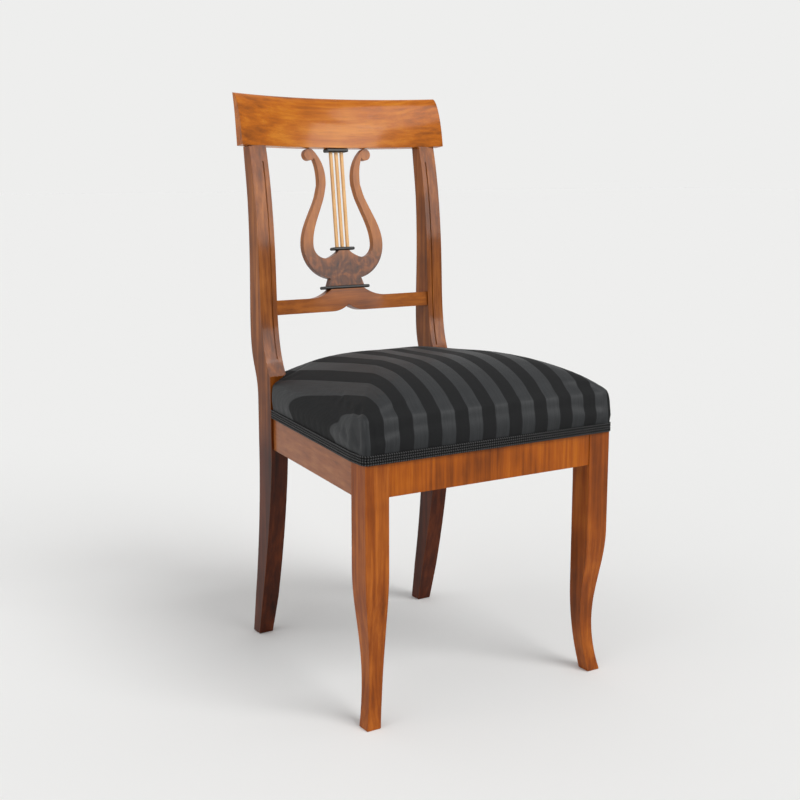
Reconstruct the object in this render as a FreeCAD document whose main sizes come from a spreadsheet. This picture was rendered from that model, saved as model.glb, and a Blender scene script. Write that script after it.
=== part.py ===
import FreeCAD, Part
import math
import os

import Sketcher

# A wooden dining chair with a lyre in its back.
# Millimetres. +Z is up, the chair faces -Y and +X is on the viewer's right.
# The origin lies on the floor, under the middle of the chair's box.
# The back's rails and the lyre are drawn upright and then leaned back together.

doc = FreeCAD.newDocument("lyre_back_chair")
sheet = doc.addObject("Spreadsheet::Sheet", "sizes")

SIZES = [
    # the plan of the frame
    ("front_width", 440, "outside of the front legs"),
    ("back_width", 356, "outside of the back posts"),
    ("front_face", 241.7, "origin forward to the front legs"),
    ("post_distance", 371, "front of the front legs to the posts' front at the seat"),
    # front legs
    ("leg_square", 38.5, "side of the square front leg"),
    ("knee_level", 235, "where the front leg starts to curve"),
    ("ankle_level", 85, "where the front leg is cut in most"),
    ("ankle_cut", 13.5, "how far both outer faces are cut in there"),
    ("toe_cut", 3.4, "how far they are cut in at the floor"),
    ("toe_level", 140, "where the inner faces start to taper"),
    ("toe_taper", 12.5, "what the inner faces lose at the floor"),
    ("foot_bevel", 1.2, "bevel round the foot"),
    # seat frame
    ("rail_top", 415, "top of the seat rails and the front legs"),
    ("rail_bottom", 341.5, "bottom of the front rail"),
    ("rail_drop", 4, "how much deeper the side rails are at the back"),
    ("rail_thick", 22, "seat rail thickness"),
    ("front_rail_set", 1.3, "front rail behind the legs' face"),
    ("side_rail_set", 1, "side rail inside the front leg's side"),
    ("post_reveal", 4.4, "side rail inside the post's outer side"),
    ("back_rail_set", 4, "back rail inside the posts' back"),
    ("tenon_thick", 8, "thickness of every rail tenon"),
    ("tenon_length", 20, "length of every seat rail tenon"),
    ("tenon_rise", 9, "seat rail's bottom to its tenon"),
    ("tenon_drop", 15, "seat rail's top to its tenon"),
    ("joint_play", 0.15, "glue line round a tenon"),
    ("end_play", 1, "glue room past a tenon's end"),
    ("block_drop", 5, "rail top down to the corner blocks"),
    ("block_height", 40, "corner block height"),
    ("block_reach", 45, "corner block's length along each rail"),
    # back posts and legs, side view: levels, and distances behind the seat post face
    ("post_width", 30, "post and back leg, side to side"),
    ("post_seat_depth", 46, "post, front to back, at the seat"),
    ("splay_start", 337, "where the back leg starts to sweep back"),
    ("foot_sweep", 63, "sweep of the back leg's front at the floor"),
    ("heel_start", 320, "where the back edge starts to sweep"),
    ("heel_sweep", 39.5, "sweep of the back leg's back at the floor"),
    ("foot_narrow", 3, "what the back foot loses on its inner side"),
    ("foot_narrow_out", 1.7, "what it loses on its outer side"),
    ("foot_narrow_level", 70, "where that narrowing starts"),
    ("ledge_level", 459, "the ledge where the post's front leaves the seat"),
    ("ledge_step", 1.5, "the ledge forward of the face above"),
    ("cove_level", 481, "middle of the cove above the ledge"),
    ("cove_back", 13.5, "post front there"),
    ("bow_level", 524, "start of the straight stretch"),
    ("bow_back", 25, "post front there"),
    ("waist_level", 625, "middle of the straight stretch"),
    ("waist_back", 32, "post front there"),
    ("waist_depth", 35.5, "post depth there"),
    ("shoulder_level", 745, "where the post leans back more"),
    ("shoulder_back", 43, "post front there"),
    ("shoulder_depth", 28, "post depth there"),
    ("hip_level", 420, "where the post's back leaves the upright"),
    ("hump_level", 486, "post's back above the seat"),
    ("hump_depth", 63.5, "post's back there, from the seat post face"),
    ("hump_top_level", 545, "top of that bend"),
    ("hump_top_depth", 69.5, "post's back there"),
    ("post_top_back", 61, "post front under the crest rail"),
    ("post_top_depth", 21.5, "post depth there"),
    ("bead_width", 8, "bead along the inner edge of the post's front"),
    ("quirk_width", 2.4, "groove beside the bead"),
    ("quirk_depth", 1.6, "depth of that groove"),
    ("quirk_stop", 26, "groove's end above the ledge and below the crest"),
    # the leaning back frame: sizes in its own upright drawing
    ("back_rake", 7, "lean of the back rails and the lyre, degrees"),
    ("back_distance", 431, "front of the front legs to the lower back rail's middle"),
    ("back_level", 551, "underside of the lower back rail"),
    ("back_radius", 620, "plan curve of the crest rail and the lower back rail"),
    ("back_rail_height", 24, "lower back rail"),
    ("back_rail_thick", 20, "lower back rail"),
    ("saddle_height", 13.7, "raised seat of the lyre on the lower back rail"),
    ("saddle_half", 32, "half the length of its flat top"),
    ("saddle_radius", 68, "hollow beside the saddle"),
    ("notch_radius", 52, "the two arcs under the lower back rail"),
    ("notch_height", 11, "height of their meeting point"),
    ("back_tenon_length", 15, "lower back rail's tenon"),
    ("crest_level", 275.6, "crest rail's underside above the lower back rail's"),
    ("crest_length", 386, "crest rail, end to end"),
    ("crest_height", 85.5, "crest rail"),
    ("crest_thick", 20, "crest rail at its underside"),
    ("crest_roll", 23, "how far the front rolls back at the top"),
    ("crest_flare", 3, "how far the back flares at the top"),
    ("post_tenon_wide", 18, "post tenon in the crest rail"),
    ("post_tenon_thick", 10, "post tenon in the crest rail"),
    ("post_tenon_length", 28, "post tenon in the crest rail"),
    # lyre
    ("base_bar_length", 86, "black bar under the lyre"),
    ("base_bar_deep", 22, "black bar under the lyre"),
    ("bar_thick", 5.5, "black bars"),
    ("small_bar_length", 40, "bridge and collar"),
    ("small_bar_deep", 16, "bridge and collar"),
    ("collar_thick", 6.5, "collar under the crest rail"),
    ("bar_round", 2.2, "rounded edges of the bars"),
    ("lyre_thick", 12, "lyre board"),
    ("foot_half", 35, "half width of the lyre's foot"),
    ("neck_half", 30.3, "half width of its neck"),
    ("neck_rise", 11, "foot to neck"),
    ("bowl_half", 77.4, "half width of the bowl"),
    ("bowl_rise", 70, "foot to the widest part of the bowl"),
    ("bowl_radius", 59, "outer arc under the bowl"),
    ("bowl_arm", 18.7, "arm width at the bowl"),
    ("lobe_radius", 22.7, "inner arc of each side of the bowl"),
    ("peak_half", 10, "half width of the peak under the bridge"),
    ("peak_rise", 60, "foot to the peak"),
    ("pinch_half", 39.7, "half width where the arms come closest"),
    ("pinch_rise", 181, "foot to that level"),
    ("pinch_arm", 12.8, "arm width there"),
    ("flare_radius", 66, "inner arc from there to the scroll"),
    ("scroll_radius", 10, "round scroll at each arm's end"),
    ("scroll_half", 54, "half the distance between the scrolls"),
    ("string_width", 5, "string, side to side"),
    ("string_deep", 4, "string, front to back"),
    ("string_pitch", 10.4, "string spacing"),
    ("string_socket", 2.5, "string let into the bars"),
    ("dowel_radius", 2.5, "lyre dowels"),
    ("dowel_reach", 14, "dowel length on each side of its joint"),
    ("foot_dowel_half", 18, "half the distance between the foot dowels"),
    # upholstery
    ("web_width", 50, "webbing strap"),
    ("web_thick", 1.6, "webbing strap"),
    ("web_weave", 0.85, "strap's rise and fall at a crossing"),
    ("web_pitch", 92, "webbing spacing"),
    ("web_hold", 14, "webbing's lap on a rail"),
    ("hessian_thick", 1, "cloth over the webbing"),
    ("cover_thick", 1.5, "seat cover and its lining"),
    ("cover_level", 391.5, "lower edge of the cover"),
    ("cover_play", 0.2, "cover off the wood"),
    ("post_play", 0.6, "padding off the posts"),
    ("gimp_thick", 2.4, "braid"),
    ("gimp_height", 15, "braid"),
    ("gimp_level", 390.5, "lower edge of the braid"),
    ("roll_level", 443.5, "edge roll of the padding"),
    ("roll_swell", 3, "how far the padding swells past the frame"),
    ("roll_turn", 12, "radius of the edge roll"),
    ("roll_fall", 4, "fall of the roll and the crown from the middle to the back"),
    ("crown_level", 503.5, "top of the crown"),
    ("crown_flat", 60, "half-width of the crown's level top, halfway back"),
    ("seat_corner", 10, "front corner radius of the cover"),
    ("lining_thick", 0.8, "cloth under the seat"),
    ("lining_inset", 7, "rail's outer edge to that cloth"),
]

for row, (alias, value, note) in enumerate(SIZES, 1):
    sheet.set("A%d" % row, alias)
    sheet.set("B%d" % row, str(value))
    sheet.set("C%d" % row, note)
    sheet.setAlias("B%d" % row, alias)
doc.recompute()


def size(name):
    """One driving size, in millimetres or degrees."""
    return float(sheet.get(name))


pieces = {}


def keep(label, item):
    """Name a finished sub-part."""
    item.Label = label
    pieces[label] = item
    return item


def sheet_words(text):
    """Spell a size's bare name the way an expression needs it."""
    words = text
    for alias in sorted((line[0] for line in SIZES), key=len, reverse=True):
        words = words.replace(alias, "@" + alias[::-1] + "@")
    for alias in (line[0] for line in SIZES):
        words = words.replace("@" + alias[::-1] + "@", "sizes." + alias)
    return words


def box(name, corner, lengths):
    """A block whose corner and lengths are expressions of the sheet."""
    block = doc.addObject("Part::Box", name)
    for axis, text in zip("xyz", corner):
        block.setExpression("Placement.Base." + axis, sheet_words(text))
    for side, text in zip(("Length", "Width", "Height"), lengths):
        block.setExpression(side, sheet_words(text))
    return block


def cut(name, base, tools):
    """The base less every tool."""
    tool = tools[0]
    if len(tools) > 1:
        tool = doc.addObject("Part::MultiFuse", name + "_tools")
        tool.Shapes = tools
    result = doc.addObject("Part::Cut", name)
    result.Base = base
    result.Tool = tool
    return result


def common(name, shapes):
    result = doc.addObject("Part::MultiCommon", name)
    result.Shapes = shapes
    return result


def fuse(name, shapes):
    result = doc.addObject("Part::MultiFuse", name)
    result.Shapes = shapes
    result.Refine = True
    return result


def mirror(name, source):
    """The same piece on the other side of the chair."""
    result = doc.addObject("Part::Mirroring", name)
    result.Source = source
    result.Base = FreeCAD.Vector(0, 0, 0)
    result.Normal = FreeCAD.Vector(1, 0, 0)
    return result


def drawn(name, shape):
    """A template or a soft form drawn from the sheet's values."""
    item = doc.addObject("Part::Feature", name)
    item.Shape = shape
    return item


def extrude(name, base, direction, forward, backward="0"):
    """A template given its thickness along a direction."""
    solid = doc.addObject("Part::Extrusion", name)
    solid.Base = base
    solid.DirMode = "Custom"
    solid.Dir = FreeCAD.Vector(*direction)
    solid.Solid = True
    solid.setExpression("LengthFwd", sheet_words(forward))
    solid.setExpression("LengthRev", sheet_words(backward))
    return solid


def polygon(body, name, plane, offset, corners):
    """A closed sketch of straight lines, every corner placed by the sheet."""
    sketch = body.newObject("Sketcher::SketchObject", name)
    support = [item for item in body.Origin.OriginFeatures if item.Role == plane][0]
    sketch.AttachmentSupport = (support, [""])
    sketch.MapMode = "FlatFace"
    sketch.setExpression("AttachmentOffset.Base.z", sheet_words(offset))
    texts = [(sheet_words(across), sheet_words(up)) for across, up in corners]
    points = [
        FreeCAD.Vector(float(sketch.evalExpression(across)), float(sketch.evalExpression(up)), 0)
        for across, up in texts
    ]
    count = len(points)
    for i in range(count):
        sketch.addGeometry(Part.LineSegment(points[i], points[(i + 1) % count]))
    for i in range(count):
        sketch.addConstraint(Sketcher.Constraint("Coincident", i, 2, (i + 1) % count, 1))
    for i, (across, up) in enumerate(texts):
        x_rule = sketch.addConstraint(Sketcher.Constraint("DistanceX", -1, 1, i, 1, points[i].x))
        sketch.setExpression("Constraints[%d]" % x_rule, across)
        y_rule = sketch.addConstraint(Sketcher.Constraint("DistanceY", -1, 1, i, 1, points[i].y))
        sketch.setExpression("Constraints[%d]" % y_rule, up)
    return sketch


def pad(body, name, sketch, length, midplane=False):
    """Pad a sketch; a pad across the chair's middle is symmetric."""
    feature = body.newObject("PartDesign::Pad", name)
    feature.Profile = sketch
    feature.Midplane = midplane
    feature.setExpression("Length", sheet_words(length))
    return feature


def vector(x, y, z=0.0):
    return FreeCAD.Vector(x, y, z)


def line(start, end):
    return Part.LineSegment(start, end).toShape()


def spline(points, start=None, end=None):
    """A smooth edge through the points, with end directions if they are given."""
    curve = Part.BSplineCurve()
    if start is None and end is None:
        curve.interpolate(points)
    else:
        curve.interpolate(Points=points, InitialTangent=start, FinalTangent=end)
    return curve.toShape()


def arc(start, middle, end):
    return Part.Arc(start, middle, end).toShape()


def face(edges):
    return Part.Face(Part.Wire(Part.__sortEdges__(edges)))


# Front legs: a square blank sawn to one template on two faces.


def front_leg_template(across, behind):
    """Both outer faces curve in to the ankle and out to the toe; the inner faces taper.

    across(distance, level) gives a point of the template at a distance in from the outer face.
    behind is only the name of the view, for the label.
    """
    knee = size("knee_level")
    ankle = size("ankle_level")
    ankle_cut = size("ankle_cut")
    toe_cut = size("toe_cut")
    toe = size("toe_level")
    square = size("leg_square")
    top = size("rail_top")
    outer = []
    steps = 6
    for i in range(steps + 1):
        share = i / steps
        level = knee + (ankle - knee) * share
        outer.append(across(ankle_cut * (1 - math.cos(math.pi * share)) / 2, level))
    for i in range(1, 5):
        share = i / 4
        outer.append(across(ankle_cut - (ankle_cut - toe_cut) * share ** 2, ankle * (1 - share)))
    inner = []
    for i in range(5):
        share = 1 - i / 4
        inner.append(across(square - size("toe_taper") * (1 - share) ** 2, toe * share))
    down = across(0, 0) - across(0, 1)
    edges = [
        line(across(0, top), across(0, knee)),
        spline(outer, down, outer[-1] - outer[-2]),
        line(outer[-1], inner[-1]),
        spline(inner, down, inner[-1] - inner[-2]),
        line(inner[0], across(square, top)),
        line(across(square, top), across(0, top)),
    ]
    return drawn("front_leg_" + behind, face(edges))


half_front = size("front_width") / 2
front_view = front_leg_template(lambda d, level: vector(half_front - d, 0, level), "front_view")
side_view = front_leg_template(
    lambda d, level: vector(0, d - size("front_face"), level), "side_view"
)
front_leg_blank = common(
    "front_leg_blank",
    [
        extrude("front_leg_from_front", front_view, (0, 1, 0), "front_face", "front_face"),
        extrude("front_leg_from_side", side_view, (1, 0, 0), "front_width / 2"),
    ],
)

# The side rail's plan slope, used wherever something follows the side rail.
RUN = "(post_distance - leg_square)"
SLOPE = (
    "((front_width / 2 - side_rail_set - back_width / 2 + post_reveal) / " + RUN + ")"
)
FRONT_SHOULDER = "(leg_square - front_face)"
BACK_SHOULDER = "(post_distance - front_face)"
SIDE_OUT_FRONT = "(front_width / 2 - side_rail_set)"


def side_out(level_y):
    """Expression for the side rail's outer face at a distance along the chair."""
    return "(%s - %s * (%s - %s))" % (SIDE_OUT_FRONT, SLOPE, level_y, FRONT_SHOULDER)


SIDE_CHEEK = "((rail_thick - tenon_thick) / 2)"
TENON_BOTTOM = "(rail_bottom + tenon_rise)"
TENON_TOP = "(rail_top - tenon_drop)"
BACK_RAIL_OUT = "(post_distance - front_face + post_seat_depth - back_rail_set)"
FRONT_RAIL_OUT = "(front_rail_set - front_face)"


def side_tenon_tool(name, end, grow, past):
    """The side rail's tenon at one end, or its socket when it is grown by the glue line."""
    body = doc.addObject("PartDesign::Body", name)
    if end == "front":
        tip = "(%s - tenon_length - %s)" % (FRONT_SHOULDER, past)
        root = "(%s + 2)" % FRONT_SHOULDER
    else:
        tip = "(%s + tenon_length + %s)" % (BACK_SHOULDER, past)
        root = "(%s - 2)" % BACK_SHOULDER
    corners = []
    for level_y, side in ((root, 0), (root, 1), (tip, 1), (tip, 0)):
        if side == 0:
            across = "%s - %s + %s" % (side_out(level_y), SIDE_CHEEK, grow)
        else:
            across = "%s - %s - tenon_thick - %s" % (side_out(level_y), SIDE_CHEEK, grow)
        corners.append((across, level_y))
    plan = polygon(body, name + "_plan", "XY_Plane", "%s - %s" % (TENON_BOTTOM, grow), corners)
    pad(body, name + "_pad", plan, "%s - %s + 2 * %s" % (TENON_TOP, TENON_BOTTOM, grow))
    return body


def rail_socket(name, rail):
    """The front or back rail's socket in the right-hand leg or post."""
    if rail == "front":
        across = "(front_width / 2 - leg_square)"
        along = "(%s + %s)" % (FRONT_RAIL_OUT, SIDE_CHEEK)
    else:
        across = "(back_width / 2 - post_width)"
        along = "(%s - %s - tenon_thick)" % (BACK_RAIL_OUT, SIDE_CHEEK)
    return box(
        name,
        (across + " - 2", along + " - joint_play", TENON_BOTTOM + " - joint_play"),
        (
            "tenon_length + end_play + 2",
            "tenon_thick + 2 * joint_play",
            "%s - %s + 2 * joint_play" % (TENON_TOP, TENON_BOTTOM),
        ),
    )


# Back posts: one sawn board each, from the floor to the crest rail.

post_face = size("post_distance") - size("front_face")
rake = math.radians(size("back_rake"))
back_origin = vector(0, size("back_distance") - size("front_face"), size("back_level"))


def leaned(point_x, thick, rise):
    """A point of the back frame's upright drawing, leaned back into the chair."""
    return vector(
        point_x,
        back_origin.y + thick * math.cos(rake) + rise * math.sin(rake),
        back_origin.z - thick * math.sin(rake) + rise * math.cos(rake),
    )


def crest_underside(y):
    """Level of the crest rail's underside at a distance along the chair."""
    foot = leaned(0, 0, size("crest_level"))
    return foot.z - (y - foot.y) * math.tan(rake)


def post_outline():
    """Side view of a back post: swept leg, upright seat, cove, straight back, raked top."""

    def at(back, level):
        return vector(0, post_face + back, level)

    depth = size("post_seat_depth")
    splay = size("splay_start")
    heel = size("heel_start")
    leg_front = []
    leg_back = []
    for i in range(6):
        share = i / 5
        leg_front.append(at(size("foot_sweep") * share ** 1.55, splay * (1 - share)))
        leg_back.append(at(depth + size("heel_sweep") * share ** 1.85, heel * (1 - share)))
    top_back = size("post_top_back")
    top_front_y = post_face + top_back
    top_rear_y = top_front_y + size("post_top_depth")
    top_front = vector(0, top_front_y, crest_underside(top_front_y))
    top_rear = vector(0, top_rear_y, crest_underside(top_rear_y))
    cove = [
        at(size("ledge_step"), size("ledge_level")),
        at(size("cove_back"), size("cove_level")),
        at(size("bow_back"), size("bow_level")),
        at(size("waist_back"), size("waist_level")),
        at(size("shoulder_back"), size("shoulder_level")),
        top_front,
    ]
    rear = [
        at(depth, size("hip_level")),
        at(size("hump_depth"), size("hump_level")),
        at(size("hump_top_depth"), size("hump_top_level")),
        at(size("waist_back") + size("waist_depth"), size("waist_level")),
        at(size("shoulder_back") + size("shoulder_depth"), size("shoulder_level")),
        top_rear,
    ]
    down = vector(0, 0, -1)
    front_edge = spline(cove)
    edges = [
        spline(leg_front, down, leg_front[-1] - leg_front[-2]),
        line(leg_front[0], at(0, size("ledge_level"))),
        line(at(0, size("ledge_level")), cove[0]),
        front_edge,
        line(top_front, top_rear),
        spline(rear, vector(0, 0, 1), rear[-1] - rear[-2]),
        line(rear[0], leg_back[0]),
        spline(leg_back, down, leg_back[-1] - leg_back[-2]),
        line(leg_back[-1], leg_front[-1]),
    ]
    return drawn("post_side_view", face(edges)), front_edge


post_side, post_front_edge = post_outline()


def post_front_view():
    """Front view of a back post: straight, and a little narrower at the foot."""
    outside = size("back_width") / 2
    inside = outside - size("post_width")
    start = size("foot_narrow_level")
    top = crest_underside(post_face + size("post_top_back")) + size("post_width")
    points = [
        vector(outside - size("foot_narrow_out"), 0, 0),
        vector(outside, 0, start),
        vector(outside, 0, top),
        vector(inside, 0, top),
        vector(inside, 0, start),
        vector(inside + size("foot_narrow"), 0, 0),
    ]
    return drawn("post_front_view", Part.Face(Part.makePolygon(points + points[:1])))


post_blank = common(
    "post_blank",
    [
        extrude("post_from_side", post_side, (1, 0, 0), "back_width / 2"),
        extrude(
            "post_from_front", post_front_view(), (0, 1, 0), "post_distance", "front_face"
        ),
    ],
)


def back_frame(item):
    """Lean a piece that was drawn upright back with the rest of the back."""
    item.setExpression("Placement.Base.y", "sizes.back_distance - sizes.front_face")
    item.setExpression("Placement.Base.z", "sizes.back_level")
    item.Placement.Rotation = FreeCAD.Rotation(vector(1, 0, 0), -size("back_rake"))
    return item


def leaned_box(name, corner, lengths):
    """A block given in the back frame's upright drawing, leaned back into the chair."""
    across, thick, rise = corner
    lean = "back_rake * 1 deg"
    along = "back_distance - front_face + (%s) * cos(%s) + (%s) * sin(%s)"
    level = "back_level - (%s) * sin(%s) + (%s) * cos(%s)"
    block = box(
        name, (across, along % (thick, lean, rise, lean), level % (thick, lean, rise, lean)), lengths
    )
    block.Placement.Rotation = FreeCAD.Rotation(vector(1, 0, 0), -size("back_rake"))
    return block


# Post tenon in the crest rail, on the crest rail's middle line at the post.
POST_MIDDLE = "(back_width / 2 - post_width / 2)"
POST_SAG = "(back_radius - sqrt(back_radius * back_radius - %s * %s))" % (
    POST_MIDDLE,
    POST_MIDDLE,
)


def post_tenon(name, grow, past):
    return leaned_box(
        name,
        (
            "%s - post_tenon_wide / 2 - %s" % (POST_MIDDLE, grow),
            "0 - %s - post_tenon_thick / 2 - %s" % (POST_SAG, grow),
            "crest_level - 6",
        ),
        (
            "post_tenon_wide + 2 * %s" % grow,
            "post_tenon_thick + 2 * %s" % grow,
            "post_tenon_length + 6 + %s" % past,
        ),
    )


# Lower back rail's tenon in the post.
RAIL_END = "(back_width / 2 - post_width)"
END_SAG = "(back_radius - sqrt(back_radius * back_radius - %s * %s))" % (RAIL_END, RAIL_END)


def back_tenon(name, grow, past, root):
    return leaned_box(
        name,
        (
            "%s - %s" % (RAIL_END, root),
            "0 - %s - tenon_thick / 2 - %s" % (END_SAG, grow),
            "back_rail_height / 6 - %s" % grow,
        ),
        (
            "back_tenon_length + %s + %s" % (root, past),
            "tenon_thick + 2 * %s" % grow,
            "back_rail_height * 2 / 3 + 2 * %s" % grow,
        ),
    )


def quirk():
    """The groove that sets off a bead along the inner edge of the post's front."""
    deep = size("quirk_depth")
    low = size("ledge_level") + size("quirk_stop")
    high = crest_underside(post_face + size("post_top_back")) - size("quirk_stop")
    strip = Part.Face(
        Part.makePolygon(
            [
                vector(0, post_face - 40, low),
                vector(0, post_face + 120, low),
                vector(0, post_face + 120, high),
                vector(0, post_face - 40, high),
                vector(0, post_face - 40, low),
            ]
        )
    )
    moved = post_side.Shape.copy()
    moved.translate(vector(0, deep, 0))
    groove = strip.cut(moved).common(post_side.Shape)
    inside = size("back_width") / 2 - size("post_width") + size("bead_width")
    ahead = [f for f in groove.Faces if f.CenterOfMass.y < post_face + size("waist_back") + 15]
    solid = ahead[0].extrude(vector(size("quirk_width"), 0, 0))
    solid.translate(vector(inside, 0, 0))
    return drawn("post_quirk", solid)


front_leg_shaped = doc.addObject("Part::Chamfer", "front_leg_foot")
front_leg_shaped.Base = front_leg_blank
doc.recompute()
bevel = size("foot_bevel")
front_leg_shaped.Edges = [
    (i + 1, bevel, bevel)
    for i, edge in enumerate(front_leg_blank.Shape.Edges)
    if max(vertex.Z for vertex in edge.Vertexes) < 0.01
]
front_leg_right = cut(
    "front_leg_cut",
    front_leg_shaped,
    [
        rail_socket("front_rail_socket", "front"),
        side_tenon_tool("side_rail_front_socket", "front", "joint_play", "end_play"),
    ],
)
keep("front_leg_right", front_leg_right)
keep("front_leg_left", mirror("front_leg_mirror", front_leg_right))

post_shaped = doc.addObject("Part::Chamfer", "post_foot")
post_shaped.Base = post_blank
post_shaped.Edges = [
    (i + 1, bevel, bevel)
    for i, edge in enumerate(post_blank.Shape.Edges)
    if max(vertex.Z for vertex in edge.Vertexes) < 0.01
]
post_sawn = fuse("post_with_tenon", [post_shaped, post_tenon("post_tenon", "0", "0")])
back_leg_right = cut(
    "back_leg_cut",
    post_sawn,
    [
        rail_socket("back_rail_socket", "back"),
        side_tenon_tool("side_rail_back_socket", "back", "joint_play", "end_play"),
        back_tenon("lower_rail_socket", "joint_play", "end_play", "2"),
        quirk(),
    ],
)
keep("back_leg_right", back_leg_right)
keep("back_leg_left", mirror("back_leg_mirror", back_leg_right))


# Seat rails


def straight_rail(name, half, outside, inside, bottom):
    """The front or back rail: a board with a tenon at each end."""
    body = doc.addObject("PartDesign::Body", name)
    board = polygon(
        body,
        name + "_plan",
        "XY_Plane",
        bottom,
        [("-" + half, outside), (half, outside), (half, inside), ("-" + half, inside)],
    )
    pad(body, name + "_board", board, "rail_top - " + bottom)
    middle = "((%s + %s) / 2)" % (outside, inside)
    end = "(%s + tenon_length)" % half
    tenons = polygon(
        body,
        name + "_tenon_plan",
        "XY_Plane",
        TENON_BOTTOM,
        [
            ("-" + end, middle + " - tenon_thick / 2"),
            (end, middle + " - tenon_thick / 2"),
            (end, middle + " + tenon_thick / 2"),
            ("-" + end, middle + " + tenon_thick / 2"),
        ],
    )
    pad(body, name + "_tenons", tenons, "%s - %s" % (TENON_TOP, TENON_BOTTOM))
    return body


front_rail = straight_rail(
    "front_rail_body",
    "(front_width / 2 - leg_square)",
    FRONT_RAIL_OUT,
    "(%s + rail_thick)" % FRONT_RAIL_OUT,
    "rail_bottom",
)
back_rail = straight_rail(
    "back_rail_body",
    RAIL_END,
    BACK_RAIL_OUT,
    "(%s - rail_thick)" % BACK_RAIL_OUT,
    "(rail_bottom - rail_drop)",
)


def side_rail():
    """The right-hand side rail: splayed in plan, a little deeper at the back."""
    body = doc.addObject("PartDesign::Body", "side_rail_body")
    plan = polygon(
        body,
        "side_rail_plan",
        "XY_Plane",
        "rail_bottom - rail_drop",
        [
            (side_out(FRONT_SHOULDER), FRONT_SHOULDER),
            (side_out(BACK_SHOULDER), BACK_SHOULDER),
            (side_out(BACK_SHOULDER) + " - rail_thick", BACK_SHOULDER),
            (side_out(FRONT_SHOULDER) + " - rail_thick", FRONT_SHOULDER),
        ],
    )
    pad(body, "side_rail_board", plan, "rail_top - rail_bottom + rail_drop")
    under = polygon(
        body,
        "side_rail_under",
        "YZ_Plane",
        "0",
        [
            (FRONT_SHOULDER, "rail_bottom - rail_drop"),
            (BACK_SHOULDER, "rail_bottom - rail_drop"),
            (FRONT_SHOULDER, "rail_bottom"),
        ],
    )
    pocket = body.newObject("PartDesign::Pocket", "side_rail_taper")
    pocket.Profile = under
    pocket.Midplane = True
    pocket.setExpression("Length", "2 * sizes.front_width")
    doc.recompute()
    return fuse(
        "side_rail_with_tenons",
        [
            body,
            side_tenon_tool("side_tenon_front", "front", "0", "0"),
            side_tenon_tool("side_tenon_back", "back", "0", "0"),
        ],
    )


side_rail_right = side_rail()


# Corner blocks and their screws


def corner_block(name, at_front):
    """A glued block in a corner of the seat frame, notched round the leg."""
    body = doc.addObject("PartDesign::Body", name + "_body")
    if at_front:
        inner = "(%s + rail_thick)" % FRONT_RAIL_OUT
        leg_x = "(front_width / 2 - leg_square)"
        leg_y = FRONT_SHOULDER
        far_y = "(%s + block_reach)" % FRONT_SHOULDER
    else:
        inner = "(%s - rail_thick)" % BACK_RAIL_OUT
        leg_x = RAIL_END
        leg_y = BACK_SHOULDER
        far_y = "(%s - block_reach)" % BACK_SHOULDER
    corners = [
        (leg_x, inner),
        (leg_x + " - block_reach", inner),
        (side_out(far_y) + " - rail_thick", far_y),
        (side_out(leg_y) + " - rail_thick", leg_y),
        (leg_x, leg_y),
    ]
    plan = polygon(
        body, name + "_plan", "XY_Plane", "rail_top - block_drop - block_height", corners
    )
    pad(body, name + "_pad", plan, "block_height")
    return body


def wood_screw(tip, head, radius, head_radius):
    """A countersunk wood screw from its head's face to its point."""
    axis = tip - head
    length = axis.Length
    cone = head_radius - radius
    profile = [
        vector(0, 0, 0),
        vector(head_radius, 0, 0),
        vector(radius, 0, cone),
        vector(radius, 0, length - 3 * radius),
        vector(0, 0, length),
    ]
    solid = Part.Face(Part.makePolygon(profile + profile[:1])).revolve(
        vector(0, 0, 0), vector(0, 0, 1), 360
    )
    turn = FreeCAD.Rotation(vector(0, 0, 1), axis)
    solid.Placement = FreeCAD.Placement(head, turn)
    return solid


def side_out_at(y):
    """The side rail's outer face at y, as a number."""
    run = size("post_distance") - size("leg_square")
    start = size("front_width") / 2 - size("side_rail_set")
    end = size("back_width") / 2 - size("post_reveal")
    return start - (start - end) / run * (y - (size("leg_square") - size("front_face")))


def block_screws():
    """Two screws in each block, one into each rail, head sunk in the slanted face."""
    screws = []
    half_leg = size("front_width") / 2 - size("leg_square")
    rail_inner = size("front_rail_set") - size("front_face") + size("rail_thick")
    shoulder = size("leg_square") - size("front_face")
    level = size("rail_top") - size("block_drop") - size("block_height") / 2
    reach = size("block_reach")
    bite = 14
    near = vector(half_leg - reach, rail_inner)
    far = vector(side_out_at(shoulder + reach) - size("rail_thick"), shoulder + reach)
    for share, heading in ((0.33, vector(0, -1)), (0.67, vector(1, 0))):
        head = near + (far - near) * share
        if heading.y:
            tip = vector(head.x, rail_inner - bite)
        else:
            tip = vector(side_out_at(head.y) - size("rail_thick") + bite, head.y)
        screws.append((head, tip))
    rear_inner = post_face + size("post_seat_depth") - size("back_rail_set") - size("rail_thick")
    rear_leg = size("back_width") / 2 - size("post_width")
    near = vector(rear_leg - reach, rear_inner)
    far = vector(side_out_at(post_face - reach) - size("rail_thick"), post_face - reach)
    for share, heading in ((0.33, vector(0, 1)), (0.67, vector(1, 0))):
        head = near + (far - near) * share
        if heading.y:
            tip = vector(head.x, rear_inner + bite)
        else:
            tip = vector(side_out_at(head.y) - size("rail_thick") + bite, head.y)
        screws.append((head, tip))
    solids = []
    for number, (head, tip) in enumerate(screws):
        lift = 8 if number % 2 else -8
        head.z = tip.z = level + lift
        inset = (tip - head).normalize() * 4
        right = wood_screw(tip, head + inset, 2, 3.8)
        solids += [right, right.mirror(vector(0, 0, 0), vector(1, 0, 0))]
    return drawn("screw_set", Part.makeCompound(solids)), screws


screw_set, screw_lines = block_screws()


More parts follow.
